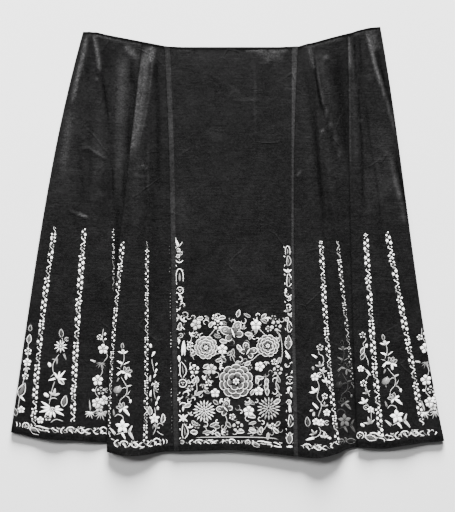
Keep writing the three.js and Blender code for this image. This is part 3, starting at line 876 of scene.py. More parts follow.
class Shape:
    """One patch of stitches, 1 wide and 1 long from its root: domed above, flat below and closed."""

    END_SLOPE = 4  # how much steeper the dome is at its ends
    SLOPE = 1.4
    LOWEST = 0.01

    def __init__(self, columns, rows, half_width, even=False):
        bm = bmesh.new()
        bmesh.ops.create_grid(bm, x_segments=columns, y_segments=rows, size=0.5)
        top = bm.verts[:]
        under = bmesh.ops.duplicate(bm, geom=bm.verts[:] + bm.edges[:] + bm.faces[:])["geom"]
        bmesh.ops.reverse_faces(bm, faces=[item for item in under if isinstance(item, bmesh.types.BMFace)])
        for vertex in bm.verts:
            across, along = 2 * vertex.co.x, vertex.co.y + 0.5
            edge = min(1 - abs(across), along * self.END_SLOPE, (1 - along) * self.END_SLOPE)
            if not even:
                along = 0.5 - 0.5 * math.cos(math.pi * along)
            vertex.co = (across * half_width(along), along, 0)
            if edge > self.LOWEST:
                vertex.co.z = smooth(edge * self.SLOPE) - self.LOWEST
        sunk = [item for item in under if isinstance(item, bmesh.types.BMVert)]
        for vertex in sunk:
            vertex.co.z = 0
        bmesh.ops.remove_doubles(bm, verts=top + sunk, dist=1e-5)
        bm.verts.index_update()
        self.points = np.array([vertex.co[:] for vertex in bm.verts])
        self.faces = np.array([[vertex.index for vertex in face.verts] for face in bm.faces])
        width = np.array([half_width(along) for along in self.points[:, 1]])
        self.uv = np.stack([self.points[:, 0] / width, self.points[:, 1]], 1)
        bm.free()


def lens(middle, roundness, least=0.06):
    """A half width that is widest at one share of the length, with pointed or round ends."""
    power = math.log(0.5) / math.log(middle)
    return lambda along: 0.5 * max(least, math.sin(math.pi * along**power) ** roundness)


PETAL_SIDE = lens(0.62, 0.6)
PETAL = Shape(4, 5, PETAL_SIDE)
LEAF = Shape(4, 5, lens(0.42, 1.0))
SPIKE = Shape(2, 5, lens(0.3, 1.0))
SMALL_PETAL = Shape(2, 3, lens(0.6, 0.55, 0.12))
KNOT = Shape(4, 4, lens(0.5, 0.6, 0.15))
ROUND = Shape(6, 8, lens(0.5, 0.52))
LINES = {}  # line shapes by their number of rows


def line_shape(rows):
    if rows not in LINES:
        LINES[rows] = Shape(2, rows, lambda along: 0.5, even=True)
    return LINES[rows]


def smooth_path(points, step):
    """Evenly spaced points on a smooth curve through the given ones."""
    points = np.asarray(points, float)
    ends = np.vstack([2 * points[0] - points[1], points, 2 * points[-1] - points[-2]])
    share = np.linspace(0, 1, 10, endpoint=False)[:, None]
    fine = [
        b
        + (c - a) * share / 2
        + (2 * a - 5 * b + 4 * c - d) * share**2 / 2
        + (3 * b - a - 3 * c + d) * share**3 / 2
        for a, b, c, d in zip(ends, ends[1:], ends[2:], ends[3:])
    ]
    fine = np.vstack(fine + [points[-1:]])
    run = np.concatenate([[0], np.cumsum(np.linalg.norm(np.diff(fine, axis=0), axis=1))])
    even = np.linspace(0, run[-1], max(2, round(run[-1] / step)) + 1)
    return np.stack([np.interp(even, run, fine[:, axis]) for axis in (0, 1)], 1)


def turned(points, degrees):
    c, s = math.cos(math.radians(degrees)), math.sin(math.radians(degrees))
    return np.asarray(points, float) @ np.array([[c, s], [-s, c]])


class Embroidery:
    """The stitched shapes on one layer of cloth. They are drawn flat, then laid on it together."""

    def __init__(self, layer):
        self.layer = Layer(layer)
        self.parts = []
        self.count = 0

    def add(self, xy, rise, tones, shape):
        self.parts.append((xy, rise, tones, shape.uv, shape.faces + self.count))
        self.count += len(xy)

    def finish(self, name):
        xy, rise, tones, uv, faces = (np.concatenate(column) for column in zip(*self.parts))
        points, on = self.layer.lay(xy, rise)
        faces = faces[on[faces].all(axis=1)]
        used, faces = np.unique(faces, return_inverse=True)
        faces = faces.reshape(-1, 4)
        mesh = bpy.data.meshes.new(name)
        mesh.from_pydata((points[used] * MM).tolist(), [], faces.tolist())
        mesh.attributes.new("tone", "FLOAT", "POINT").data.foreach_set("value", tones[used])
        stitch = mesh.uv_layers.new(name="stitch")
        stitch.data.foreach_set("uv", uv[used][faces.ravel()].ravel())
        new_piece(name, mesh, SILK)


class Needle:
    """Draws shapes in a frame of its own: at a place, turned in degrees, sized, toned and lifted."""

    def __init__(self, work, place, turn=0.0, size=1.0, tone=1.0, plies=0):
        self.work = work
        self.place = np.array(place, float)
        self.turn = turn
        self.size = size
        self.tone = tone
        self.plies = plies

    def at(self, x, y, turn=0.0, size=1.0, plies=0):
        place = self.spots([(x, y)])[0]
        return Needle(self.work, place, self.turn + turn, self.size * size, self.tone, self.plies + plies)

    def over(self, plies=1):
        return self.at(0, 0, plies=plies)

    def spots(self, points):
        return turned(points, self.turn) * self.size + self.place

    def stitch(self, flat, shape, height, tones):
        """Hands over a shape at flat points in the needle's frame, with painted shade round its rim."""
        rise = shape.points[:, 2] * (height + PAD_SINK) - PAD_SINK + self.plies * PLY
        shade = SHADED_RIM_TONE + (1 - SHADED_RIM_TONE) * smooth(shape.points[:, 2] * 1.3)
        tones = np.minimum(BRIGHT, tones * self.tone * RNG.uniform(*TONE_SPREAD)) * shade
        self.work.add(self.spots(flat), rise, tones, shape)

    def pad(self, shape, heading, length, width, tone, start=0.0, root=0.85):
        """One shape towards a heading in degrees, 0 to the right and 90 up. It is darker at its root."""
        flat = shape.points[:, :2] * (width, length) + (0, start)
        tones = tone * (root + (1 - root) * smooth(shape.points[:, 1] * 1.3))
        self.stitch(turned(flat, heading - 90), shape, PAD_HEIGHT, tones)

    def knot(self, radius, tone):
        self.pad(KNOT, 90, 2 * radius, 2 * radius, tone, start=-radius)

    def line(self, points, width, tone):
        """A line of stitches along a smooth path, thinner at its ends."""
        path = smooth_path(points, LINE_STEP)
        shape = line_shape(len(path) - 1)
        row = np.clip(np.rint(shape.points[:, 1] * (len(path) - 1)).astype(int), 0, len(path) - 1)
        ahead = np.gradient(path, axis=0)
        side = np.stack([ahead[:, 1], -ahead[:, 0]], 1) / np.linalg.norm(ahead, axis=1, keepdims=True)
        thin = width * (LINE_END + (1 - LINE_END) * np.sin(np.pi * shape.points[:, 1]) ** 0.5)
        flat = path[row] + side[row] * (shape.points[:, 0] * thin)[:, None]
        self.stitch(flat, shape, PAD_HEIGHT * 0.8, np.full(len(flat), tone))

    def ring(self, radius, width, tone):
        angles = np.linspace(0, 2 * math.pi, CURVE_POINTS)
        self.line(np.stack([np.cos(angles), np.sin(angles)], 1) * radius, width, tone)

    def curl(self, radius, turns, hand, width, tone):
        """A line that leaves the needle's place upwards and curls in."""
        share = np.linspace(0, 1, CURVE_POINTS)
        angles = math.pi - 2 * math.pi * turns * share
        reach = radius * (1 - 0.6 * share)
        path = np.stack([hand * (reach * np.cos(angles) + radius), reach * np.sin(angles)], 1)
        self.line(path, width, tone)


# Embroidery: motifs. Each is drawn upwards from the needle's place, or round it.


def leaf(needle, size, tone):
    """Two halves with the vein left bare between them."""
    for side in (-1, 1):
        needle.at(side * size * 0.085, 0).pad(LEAF, 90 + side * 3.5, size, size * 0.2, tone)


def outline(needle, size, reach, tone, width=RIM_WIDTH, bend=0.0):
    """The edge of a leaf, as one line down each side. Bend pushes the leaf's middle to the right."""
    along = np.array([-0.02, 0.22, 0.45, 0.76, 1.02])
    for side in (-1, 1):
        across = side * reach * np.array([0, 0.8, 1, 0.6, 0]) + bend * np.sin(math.pi * along)
        needle.line(np.stack([across, along], 1) * size, width, tone)


def edged(needle, size, tone):
    """A leaf of darker silk with a light line round it."""
    needle.pad(LEAF, 90, size * 0.94, size * 0.42, tone * 0.13)
    outline(needle.over(), size, 0.24, min(BRIGHT, tone * 2.2))


def slim(needle, size, tone):
    """A narrow grey leaf with a pale edge."""
    needle.pad(LEAF, 90, size * 0.94, size * 0.3, tone * 0.25)
    outline(needle.over(), size, 0.16, min(PALE, tone * 2))


def outlined(needle, size, tone):
    """A bent leaf drawn by its edge, nearly bare inside."""
    needle.at(size * 0.08, size * 0.2).pad(SPIKE, 90, size * 0.55, size * 0.15, GREY)
    outline(needle, size, 0.19, tone, 2.9, 0.1)


def rimmed(needle, heading, length, width, tone, start=0.0):
    """A petal that is grey at its root, with a light line round its outer half."""
    needle.pad(PETAL, heading, length, width, tone * 0.12, start, 0.3)
    sides = [(PETAL_SIDE(along) * width * 0.94, start + along * length) for along in (0.36, 0.62, 0.85, 0.97)]
    rim = [(-x, y) for x, y in sides] + [(0, start + length)] + sides[::-1]
    needle.over().line(turned(rim, heading - 90), RIM_WIDTH, BRIGHT)


def spike(needle, size, tone):
    needle.pad(SPIKE, 90, size, size * 0.22, tone)


def bean(needle, size, tone):
    needle.pad(PETAL, 90, size, size * 0.48, tone)


def bud(needle, size, tone):
    needle.pad(PETAL, 90, size, size * 0.78, tone)
    for side in (-1, 1):
        needle.over().pad(SPIKE, 90 - side * 42, size * 0.5, size * 0.2, tone * 0.6)


def flower(needle, petals, radius, width, tone, heart, shape=PETAL, root=0.6):
    for petal in range(petals):
        heading = 90 + 360 * petal / petals
        needle.pad(shape, heading, radius * (1 - heart), width, tone, radius * heart, root)


def plum(needle, size, tone):
    flower(needle, 5, size, size * 0.92, tone, 0.16)
    needle.over().knot(size * 0.14, tone * 0.55)


def open_plum(needle, size, tone):
    """A blossom with a dark middle."""
    flower(needle, 5, size, size * 0.88, tone, 0.42)
    needle.knot(size * 0.16, tone * 0.7)


def daisy(needle, size, tone):
    flower(needle, 10, size, size * 0.3, tone, 0.22, SPIKE)
    needle.over().knot(size * 0.17, tone * 0.6)


def aster(needle, size, tone):
    """Long petals to both sides and short ones below, round a ringed middle."""
    headings = (145, 168, 192, 218, 250, 286, 331, 357, 24)
    reaches = (1.0, 0.84, 1.0, 0.62, 0.56, 0.56, 0.96, 0.74, 0.5)
    for heading, reach in zip(headings, reaches):
        needle.pad(LEAF, heading, size * reach * 0.84, size * 0.23, tone, start=size * 0.16)
    needle.over().ring(size * 0.14, 1.8, tone)
    needle.over().knot(size * 0.06, tone * 0.8)


def star(needle, size, tone):
    flower(needle, 5, size, size * 0.76, tone, 0.1, LEAF, 0.8)
    needle.over().knot(size * 0.13, tone * 0.6)


def lily(needle, size, tone):
    for heading, reach in ((20, 0.8), (70, 1.1), (98, 0.8), (138, 0.8), (-34, 0.66)):
        needle.pad(LEAF, heading, size * reach, size * 0.27, tone * (0.7 if heading < 0 else 1))


def orchid(needle, size, tone):
    """Grey upper petals with light edges, and bright lower ones."""
    for heading in (50, 92, 134):
        edged(needle.at(0, 0, heading - 90), size * 0.6, min(tone, GREY))
    for heading, reach in ((-12, 0.55), (-64, 0.62), (200, 0.45)):
        needle.over().pad(PETAL, heading, size * reach, size * 0.26, BRIGHT)


def lobed(needle, size, tone):
    """A leaf of three lobes, with light tips where it is grey."""
    for heading, reach in ((90, 0.95), (30, 0.78), (150, 0.78)):
        needle.pad(LEAF, heading, size * reach, size * 0.44, tone, root=0.6)
        if tone < PALE:
            needle.over().pad(SPIKE, heading, size * 0.45, size * 0.16, BRIGHT, size * (reach - 0.42))


def bamboo(needle, size, tone):
    for heading, reach in ((12, 0.8), (40, 0.95), (66, 1.1), (94, 0.9), (120, 1.15), (150, 0.85), (178, 0.6)):
        needle.pad(SPIKE, heading, size * reach, size * 0.2, tone)


def fruit(needle, size, tone):
    """A round fruit, lighter towards one side, with a small tip."""
    needle.pad(ROUND, 25, size, size * 0.96, tone, -size * 0.5, 0.35)
    needle.over().pad(SPIKE, 60, size * 0.7, size * 0.2, tone * 3, -size * 0.1)
    needle.at(-size * 0.1, -size * 0.46, 190).pad(SPIKE, 90, size * 0.3, size * 0.2, tone)


def cup(needle, size, tone):
    for side in (-1, 1):
        needle.pad(LEAF, 90 - side * 62, size * 0.7, size * 0.3, tone)
    needle.over().pad(PETAL, 90, size * 0.55, size * 0.5, tone * 0.5)


def ringlet(needle, size, tone):
    needle.ring(size * 0.8, 2.4, tone)
    needle.knot(size * 0.28, tone * 0.7)


def rosette(needle, size, tone):
    """A ring round a small blossom."""
    needle.ring(size, 2.9, tone)
    flower(needle, 3, size * 0.55, size * 0.46, tone * 0.8, 0.1, SMALL_PETAL)


def tendril(needle, size, tone):
    needle.curl(size * 0.5, 0.85, 1, 2.0, tone)


def tendril_left(needle, size, tone):
    needle.curl(size * 0.5, 0.85, -1, 2.0, tone)


def hook(needle, size, tone, hand=1):
    """A thick scroll that ends in a knot."""
    needle.curl(size * 0.4, 0.6, hand, 3.0, tone)
    needle.at(hand * size * 0.54, -size * 0.06).knot(size * 0.13, tone)


def hook_left(needle, size, tone):
    hook(needle, size, tone, -1)


def crescent(needle, size, tone):
    """A thick arc that opens upwards."""
    angles = np.radians(np.linspace(190, 350, 7))
    needle.line(np.stack([np.cos(angles), np.sin(angles)], 1) * size, 3.4, tone)
    needle.pad(LEAF, -90, size * 0.62, size * 0.4, GREY)


def arch(needle, size, tone):
    """A long narrow arch round a grey leaf."""
    side = np.array([(0.2, -0.5), (0.23, 0.0), (0.16, 0.36)])
    path = np.vstack([side * (-1, 1), [(0, 0.5)], side[::-1]])
    needle.line(path * size, 2.8, tone)
    needle.at(0, -size * 0.35).pad(LEAF, 90, size * 0.6, size * 0.2, GREY)


def bar(needle, size, tone):
    needle.line([(0.6, -size / 2), (-0.8, -size / 8), (0.8, size / 4), (-0.4, size / 2)], 2.9, tone)


def leaf_pair(needle, size, tone):
    for side in (-1, 1):
        needle.pad(LEAF, 90 - side * 48, size * 0.66, size * 0.27, tone)
    needle.over().pad(PETAL, 90, size * 0.45, size * 0.24, tone * 0.8)


def s_curl(needle, size, tone):
    needle.curl(size * 0.27, 0.75, 1, 2.6, tone)
    needle.at(0, 0, 180).curl(size * 0.27, 0.75, 1, 2.6, tone)


def sew(needle, chart):
    """Draws a chart's rows: motif, x, y, size, heading and tone."""
    for motif, x, y, size, heading, tone in chart["motifs"]:
        motif(needle.at(x, y, heading - 90), size, tone)
    for path in chart["stems"]:
        needle.line(path, LINE_WIDTH, PALE)


# Embroidery: the sprays between the bands. Charts are drawn upwards from the spray's foot.

DAISY_SPRAY = {
    "motifs": [
        (edged, 15, 188, 19, 95, GREY),
        (ringlet, 26, 184, 5, 90, PALE),
        (daisy, 12.6, 168, 15, 90, BRIGHT),
        (leaf, 4, 138, 11, 165, GREY),
        (leaf, 5, 143, 15, 268, GREY),
        (leaf, 19, 153, 16, 292, GREY),
        (bud, -9, 123, 11, 115, BRIGHT),
        (lily, 7, 96, 23, 70, BRIGHT),
        (leaf, 2, 98, 17, 196, BRIGHT),
        (edged, 8, 96, 17, 318, PALE),
        (lobed, -2, 60, 18, 80, PALE),
        (bud, -13, 58, 13, 150, BRIGHT),
        (aster, -5, 30, 31, 90, BRIGHT),
        (edged, 18, 36, 25, 76, PALE),
        (plum, -32, 6, 8, 90, BRIGHT),
        (open_plum, -15, 12, 8, 90, PALE),
    ],
    "stems": [
        ((15, 190), (17, 180), (12, 168)),
        ((12, 155), (4, 143), (-4, 128), (-2.5, 110), (8, 102)),
        ((-10, 100), (-2, 107), (8, 104)),
        ((2, 96), (-5, 77), (-9, 57), (-13, 37)),
        ((-11, 0), (3, 8), (20, 3)),
        ((-14, 50), (-4, 55), (6, 53)),
    ],
}
PLUM_SPRAY = {
    "motifs": [
        (open_plum, 2.5, 186, 6.5, 90, BRIGHT),
        (bud, 12, 190, 7, 60, BRIGHT),
        (bud, 12, 181, 6, 20, BRIGHT),
        (plum, 10, 160, 11.5, 90, BRIGHT),
        (bamboo, 6, 130, 15, 262, GREY),
        (leaf, -6, 132, 14, 160, PALE),
        (plum, -2, 91, 12, 90, BRIGHT),
        (open_plum, 5, 68, 9, 90, PALE),
        (ringlet, 19, 69, 6, 90, PALE),
        (bud, -7, 68, 8, 160, BRIGHT),
        (plum, -4, 42, 11, 80, BRIGHT),
        (plum, 12.6, 47, 11, 100, BRIGHT),
        (plum, 1, 30, 9, 90, PALE),
        (spike, -18, 24, 26, 95, PALE),
        (bamboo, -18, 22, 15, 255, BRIGHT),
        (bamboo, 5, 20, 17, 262, PALE),
        (bamboo, 17, 24, 13, 280, PALE),
    ],
    "stems": [
        ((11, 208), (8, 186), (13, 170)),
        ((17, 152), (19, 143), (10, 131)),
        ((6, 128), (8, 110), (2, 98)),
        ((-2, 82), (-7.5, 66), (2, 50)),
        ((-16, 20), (-6, 24), (2, 30)),
        ((6, 30), (9, 20), (17, 12)),
    ],
}
FRUIT_SPRAY = {
    "motifs": [
        (edged, 0, 197, 13, 92, GREY),
        (cup, 1, 186, 18, 90, BRIGHT),
        (leaf, 1, 163, 16, 148, BRIGHT),
        (spike, 2, 162, 17, 28, BRIGHT),
        (spike, -4, 152, 11, 155, PALE),
        (orchid, 8, 144, 25, 62, GREY),
        (leaf, -13, 138, 18, 42, BRIGHT),
        (leaf, -7, 134, 12, 240, GREY),
        (leaf, 8, 114, 13, 15, PALE),
        (fruit, -11, 107, 20, 90, GREY),
        (spike, 10, 95, 13, 55, PALE),
        (bud, 17, 78, 8, 82, BRIGHT),
        (orchid, 0, 66, 24, 120, PALE),
        (leaf, 2, 66, 22, 312, BRIGHT),
        (leaf, -18, 50, 15, 98, GREY),
        (star, 0, 26.5, 16, 90, BRIGHT),
        (leaf, -15, 8, 20, 128, PALE),
        (leaf, -2, 14, 18, 300, BRIGHT),
        (leaf, 14, 14, 18, 62, PALE),
        (leaf, 14, 16, 22, 300, PALE),
    ],
    "stems": [
        ((3, 190), (3, 172), (-6, 154)),
        ((-6, 140), (2.5, 126), (10, 111), (7.5, 96), (-5, 84), (-4, 72)),
        ((-3, 108), (4, 112), (9, 110)),
        ((7, 94), (14, 90), (17, 80)),
        ((-19, 46), (-10, 53), (1, 48), (2, 38)),
        ((-15, 8), (-4, 12), (14, 16)),
    ],
}
LOBED_SPRAY = {
    "motifs": [
        (open_plum, 8, 201, 7.5, 90, PALE),
        (leaf, 2, 178, 15, 148, BRIGHT),
        (lobed, 8, 158, 14, 95, GREY),
        (lobed, 14, 147, 13, 75, PALE),
        (bud, -6, 151, 9, 105, GREY),
        (ringlet, 7, 141, 6, 90, BRIGHT),
        (plum, -3, 136, 9, 90, BRIGHT),
        (lobed, 20, 124, 13, 80, BRIGHT),
        (spike, 22, 124, 11, 285, PALE),
        (lobed, -3, 102, 16, 118, BRIGHT),
        (open_plum, 18.5, 94, 6.5, 90, BRIGHT),
        (lobed, 17, 71, 12, 85, GREY),
        (leaf, 4, 66, 19, 132, BRIGHT),
        (bud, -7, 64, 8, 200, PALE),
        (bud, -5, 60, 10, 262, PALE),
        (plum, 23, 58, 8, 90, BRIGHT),
        (edged, -18, 27, 22, 96, GREY),
        (plum, -1, 38, 8, 90, BRIGHT),
        (plum, 10, 36, 8, 90, BRIGHT),
        (ringlet, 23, 36, 6, 90, PALE),
        (lobed, -4, 10, 14, 120, GREY),
        (lobed, 16, 3, 15, 85, PALE),
        (leaf, -4, 3, 20, 194, BRIGHT),
        (bud, 24, 4, 9, 340, BRIGHT),
    ],
    "stems": [
        ((5, 196), (6, 187), (14, 182), (16, 170), (10, 160)),
        ((7, 141), (2, 130), (6, 115), (2, 91), (11.5, 75), (4.6, 52), (3, 42)),
        ((12, 150), (17, 138), (20, 124)),
        ((11, 80), (16, 88), (18, 94)),
        ((3.5, 30), (9, 17), (2, 6), (-14, 2)),
        ((9, 20), (20, 14), (24, 4)),
    ],
}
TRAILING_SPRAY = {
    "motifs": [
        (open_plum, -16, 201, 7, 90, PALE),
        (bud, -8, 173, 9, 82, BRIGHT),
        (edged, -19, 159, 17, 68, PALE),
        (edged, -20, 147, 17, 60, GREY),
        (plum, -20, 127, 7.5, 90, BRIGHT),
        (leaf, -8, 124, 16, 308, BRIGHT),
        (open_plum, -14, 95, 7.5, 90, BRIGHT),
        (lobed, -6, 72, 13, 110, GREY),
        (lobed, -12, 51, 16, 112, BRIGHT),
        (ringlet, -9, 42, 6, 90, PALE),
        (plum, 1, 37, 7, 90, BRIGHT),
        (leaf, 4, 38, 12, 300, PALE),
        (lobed, 0, 5, 18, 105, GREY),
        (bud, -12, 1, 10, 150, BRIGHT),
    ],
    "stems": [
        ((-10, 198), (-9, 190), (-15, 181), (-9, 172)),
        ((-12, 160), (-5, 146), (-3.5, 132)),
        ((-14, 128), (-8, 124), (-3, 114), (-10, 102)),
        ((-10, 90), (-6, 79), (0, 64)),
        ((-10, 54), (-4, 46), (1, 38), (3, 24), (2, 8)),
    ],
}
EDGE_SPRAY = {
    "motifs": [
        (edged, 18, 186, 15, 85, GREY),
        (edged, 15, 160, 20, 82, PALE),
        (open_plum, 14, 142, 8, 90, BRIGHT),
        (plum, 12, 118, 9, 90, BRIGHT),
        (lobed, 10, 106, 12, 280, PALE),
        (open_plum, 8, 87, 7, 90, BRIGHT),
        (edged, -6, 43, 32, 66, PALE),
        (leaf, -4, 44, 16, 315, BRIGHT),
        (plum, -1, 14, 8, 90, BRIGHT),
        (edged, -12, 0, 18, 100, GREY),
    ],
    "stems": [
        ((18, 186), (15, 165), (13, 130), (8, 100), (4, 78), (-4, 44), (-8, 16), (-10, 0)),
    ],
}
SLIM_SPRAY = {
    "motifs": [
        (bud, -16, 190, 9, 95, BRIGHT),
        (bean, -14, 170, 14, 60, BRIGHT),
        (bean, -6, 150, 8, 60, BRIGHT),
        (bean, -7, 134, 11, 66, BRIGHT),
        (bean, -10, 124, 10, 60, BRIGHT),
        (leaf, -19, 115, 16, 80, PALE),
        (open_plum, -4.5, 109, 6.5, 90, BRIGHT),
        (leaf, -15, 106, 9, 62, PALE),
        (lobed, -6, 96, 9, 20, GREY),
        (leaf, -17.5, 82, 16, 82, BRIGHT),
        (bean, -14, 70, 9, 95, DIM),
        (bean, -3, 73, 12, 60, BRIGHT),
        (bean, -6, 62, 11, 70, BRIGHT),
        (bud, -1, 53, 8, 85, BRIGHT),
        (edged, -17, 42, 20, 96, BRIGHT),
        (star, -8, 34, 12, 90, BRIGHT),
        (outlined, 8, 24, 22, 84, BRIGHT),
        (lobed, -5, 14, 12, 60, GREY),
        (bean, -12, 10, 10, 80, DIM),
    ],
    "stems": [
        ((-14, 168), (-13, 158), (-11, 148), (-9, 136)),
        ((-8, 122), (-6, 112), (-9, 98), (-7, 82), (-4, 74)),
        ((-8, 60), (-6, 47), (-8, 38)),
        ((-8, 28), (-5, 14), (-12, -3)),
        ((-4, 18), (2, 24), (9, 22), (12, 18)),
        ((-3, 8), (3, 2), (13, -3)),
    ],
}

# Where the sprays grow: layer, chart, foot, turn, size and tone
SPRAYS = [
    ("left_outer", EDGE_SPRAY, (-453, -383), 0, 1, 0.95),
    ("left_outer", DAISY_SPRAY, (-380, -398), 0, 1, 1),
    ("left_outer", PLUM_SPRAY, (-284, -396), 0, 1, 0.85),
    ("left_inner", FRUIT_SPRAY, (-231, -432), 0, 1, 1),
    ("left_inner", SLIM_SPRAY, (-153, -423), 0, 1, 0.9),
    ("right_inner", LOBED_SPRAY, (195, -433), 0, 1, 1),
    # Its low tone is painted shade: this spray lies down in a fold.
    ("right_inner", FRUIT_SPRAY, (258, -419), 1.6, 0.97, 0.075),
    ("right_outer", TRAILING_SPRAY, (313, -406), 0, 1, 1),
    ("right_outer", FRUIT_SPRAY, (377, -410), 9.7, 1, 1),
    ("right_outer", PLUM_SPRAY, (456, -393), 11, 1, 0.95),
]

# The bands that cover the seams: layer, cloth, seam, y of the top and foot, width at the top and foot, tone
# there, and the run that each starts with
SEAM_BANDS = [
    ("left_outer", "left", "seam_1", 35, -405, 13, 13, 0.95, 0.95, 1),
    ("left_outer", "left", "seam_2", 31, -402, 14, 13, 1, 1, 4),
    ("left_outer", "left", "seam_3", 31, -110, 6, 4, 0.9, 0.2, 0),
    ("left_inner", "left", "seam_4", 2, -430, 12, 5, 0.95, 0.9, 0),
    ("left_inner", "left", "seam_5", 3, -440, 8, 10, 0.85, 0.85, 6),
    ("right_inner", "right", "seam_1", 4, -446, 12, 11, 1, 0.85, 2),
    # Its tone falls towards its foot as painted shade, where the band runs down into a fold.
    ("right_inner", "right", "seam_2", 4, -330, 10, 7, 0.95, 0.08, 5),
    ("right_outer", "right", "seam_3", 20, -428, 13, 14, 1, 1, 7),
    ("right_outer", "right", "seam_4", 24, -408, 14, 13, 0.95, 0.95, 0),
]
BAND_WIDTH = 13  # what the runs are drawn for
BAND_POINT = 18  # length of the point that a band starts with
POINT_SIZE = 0.45  # the share of its width that a band starts with
SHORTEST_RUN = 8


def along_path(path, step):
    """Places at even steps along a path, each with its heading in degrees."""
    points = smooth_path(path, step)
    ahead = np.gradient(points, axis=0)
    return points, np.degrees(np.arctan2(ahead[:, 1], ahead[:, 0]))


def seam_path(cloth, seam, top, foot):
    """Points on a seam as seen from above, from one height to another."""
    index = np.full(CURVE_POINTS, cloth.places[seam])
    high, low = cloth.ends[index[0]]
    t = (high - np.linspace(top, foot, CURVE_POINTS)) / (high - low)
    return cloth.control(index, t)[:, :2]


def buds(spot, start, end):
    """Round buds in a zigzag."""
    for step, along in enumerate(np.arange(start + 3, end - 1, 5.9)):
        side = 1 if step % 2 else -1
        spot(along, side * RNG.uniform(3.0, 3.6)).knot(RNG.uniform(3.5, 4.1), BRIGHT)
        spot(along + 0.6, -side * 5, RNG.uniform(-50, 50)).pad(SMALL_PETAL, 90, 3.6, 2.2, GREY, -1.8)


def blossoms(spot, start, end):
    """Small blossoms of three and four petals, with dark middles."""
    for step, along in enumerate(np.arange(start + 5, end - 4, 12)):
        flower(spot(along, 0, RNG.uniform(-60, 60)), 4 - step % 2, 7.4, 5.6, BRIGHT, 0.26, KNOT)
        spot(along + 6.6, RNG.uniform(2.6, 4.4)).knot(1.7, BRIGHT)
        spot(along + 7.4, -RNG.uniform(2.6, 4.4)).knot(1.6, GREY)


def scroll(spot, start, end, tone=BRIGHT):
    """A winding line, with a bead beside every other bend."""
    line = []
    for step, along in enumerate(np.arange(start, end + 3, 4.2)):
        side = (0, 1, 0, -1)[step % 4]
        line.append(spot(along, 4.4 * side).place)
        if side > 0:
            spot(along, -3.6).knot(1.7, tone)
    middle = spot(start, 0)
    Needle(middle.work, (0, 0), 0, 1, middle.tone).line(line, 2.8 * middle.size, tone)


def dim_scroll(spot, start, end):
    """Dark grey leaves under a paler winding line."""
    for along in np.arange(start + 2, end, 4.4):
        spot(along, RNG.uniform(-3.8, 3.8), RNG.uniform(-70, 70)).pad(SMALL_PETAL, 90, 6.4, 4, DIM, -3.2)
    scroll(spot, start, end, PALE)


# The runs that a band is made of, in turn, and their lengths
BAND_RUNS = [
    (buds, 32),
    (scroll, 17),
    (blossoms, 24),
    (dim_scroll, 14),
    (buds, 18),
    (scroll, 24),
    (dim_scroll, 18),
    (blossoms, 14),
    (buds, 22),
    (dim_scroll, 10),
]


def seam_band(work, path, widths, tones, run):
    """A band of runs, one after the other, from a point at its top."""
    points, headings = along_path(path, 1.0)
    last = len(points) - 1

    def spot(along, across, turn=0.0):
        """A needle at a place along the band and to its side."""
        step = int(np.clip(round(along), 0, last))
        share = step / last
        width = widths[0] + (widths[1] - widths[0]) * share
        size = width / BAND_WIDTH * (POINT_SIZE + (1 - POINT_SIZE) * min(1, step / BAND_POINT))
        tone = tones[0] + (tones[1] - tones[0]) * share
        return Needle(work, points[step], headings[step] - 90, size, tone).at(across, 0, turn)

    along = 0
    while along < last - SHORTEST_RUN:
        kind, length = BAND_RUNS[run % len(BAND_RUNS)]
        kind(spot, along, min(along + length, last))
        along += length
        run += 1


# The hem's border and the bands beside the front panel's foot, drawn along a line. Rows: motif, how far
# along, how far to the left of the line, size, heading from the line's own, and tone.
HEM_LENGTH = 206
HEM_CHART = [
    (rosette, 22, 0, 7.6, 0, BRIGHT),
    (edged, 33, -3, 27, -18, PALE),
    (bean, 78, 4, 7, 20, BRIGHT),
    (ringlet, 121, 1, 3.4, 0, PALE),
    (lobed, 137, 4, 8, 10, GREY),
    (ringlet, 148, 0, 3.2, 0, BRIGHT),
    (leaf, 154, -9, 12, 10, GREY),
    (bean, 188, -6, 9, 60, BRIGHT),
    (leaf, 199, 2, 9, -60, GREY),
]
HEM_STROKES = [  # places along the line and to its left, width and tone
    (((0, 7), (3, 0), (1, -7)), 3.2, BRIGHT),
    (((7, 6), (10, 1), (8, -6)), 2.8, PALE),
    (((31, 8), (35, 4), (32, -4), (37, -9)), 2.8, BRIGHT),
    (((40, 4), (52, 6), (64, 4), (77, 3)), 3.8, BRIGHT),
    (((50, 0), (58, -3), (64, -1)), 2.8, PALE),
    (((63, -3), (70, -1), (76, -6), (72, -11), (64, -9)), 2.8, BRIGHT),
    (((79, -5), (88, -8), (99, -7)), 4.2, BRIGHT),
    (((80, 7), (86, 3), (92, 0), (96, -4)), 3.0, BRIGHT),
    (((90, 8), (95, 5), (99, 7)), 2.6, PALE),
    (((110, 9), (103, 5), (100, -1), (104, -7), (112, -8)), 3.6, BRIGHT),
    (((112, -3), (114, 5), (121, 8), (128, 6), (130, 0)), 3.0, BRIGHT),
    (((117, 2), (123, -2), (127, -8)), 3.8, BRIGHT),
    (((107, 0), (111, 2), (115, -6)), 2.6, PALE),
    (((129, -6), (137, 3), (146, 5), (154, -2), (162, -6), (169, -3)), 3.1, BRIGHT),
    (((131, 7), (138, -1), (147, -6), (156, 2), (166, 6)), 3.1, BRIGHT),
    (((141, 9), (148, 7), (153, 9)), 2.6, PALE),
    (((170, 8), (177, 4), (172, -1), (178, -7), (185, -5)), 3.2, BRIGHT),
    (((178, 3), (183, 7), (186, 1)), 2.6, PALE),
    (((186, -8), (189, 0), (187, 6), (194, 9), (201, 4), (199, -1)), 3.6, BRIGHT),
    (((190, -7), (196, -4), (203, -8)), 3.4, BRIGHT),
]
HEM_VINE = (2.0, GREY, 11, 5)  # width, tone, half a wave's length and its reach, of the vine below
SIDE_LEAVES = (10, 7.2)  # how far apart the small leaves beside a side chart are, and how far out
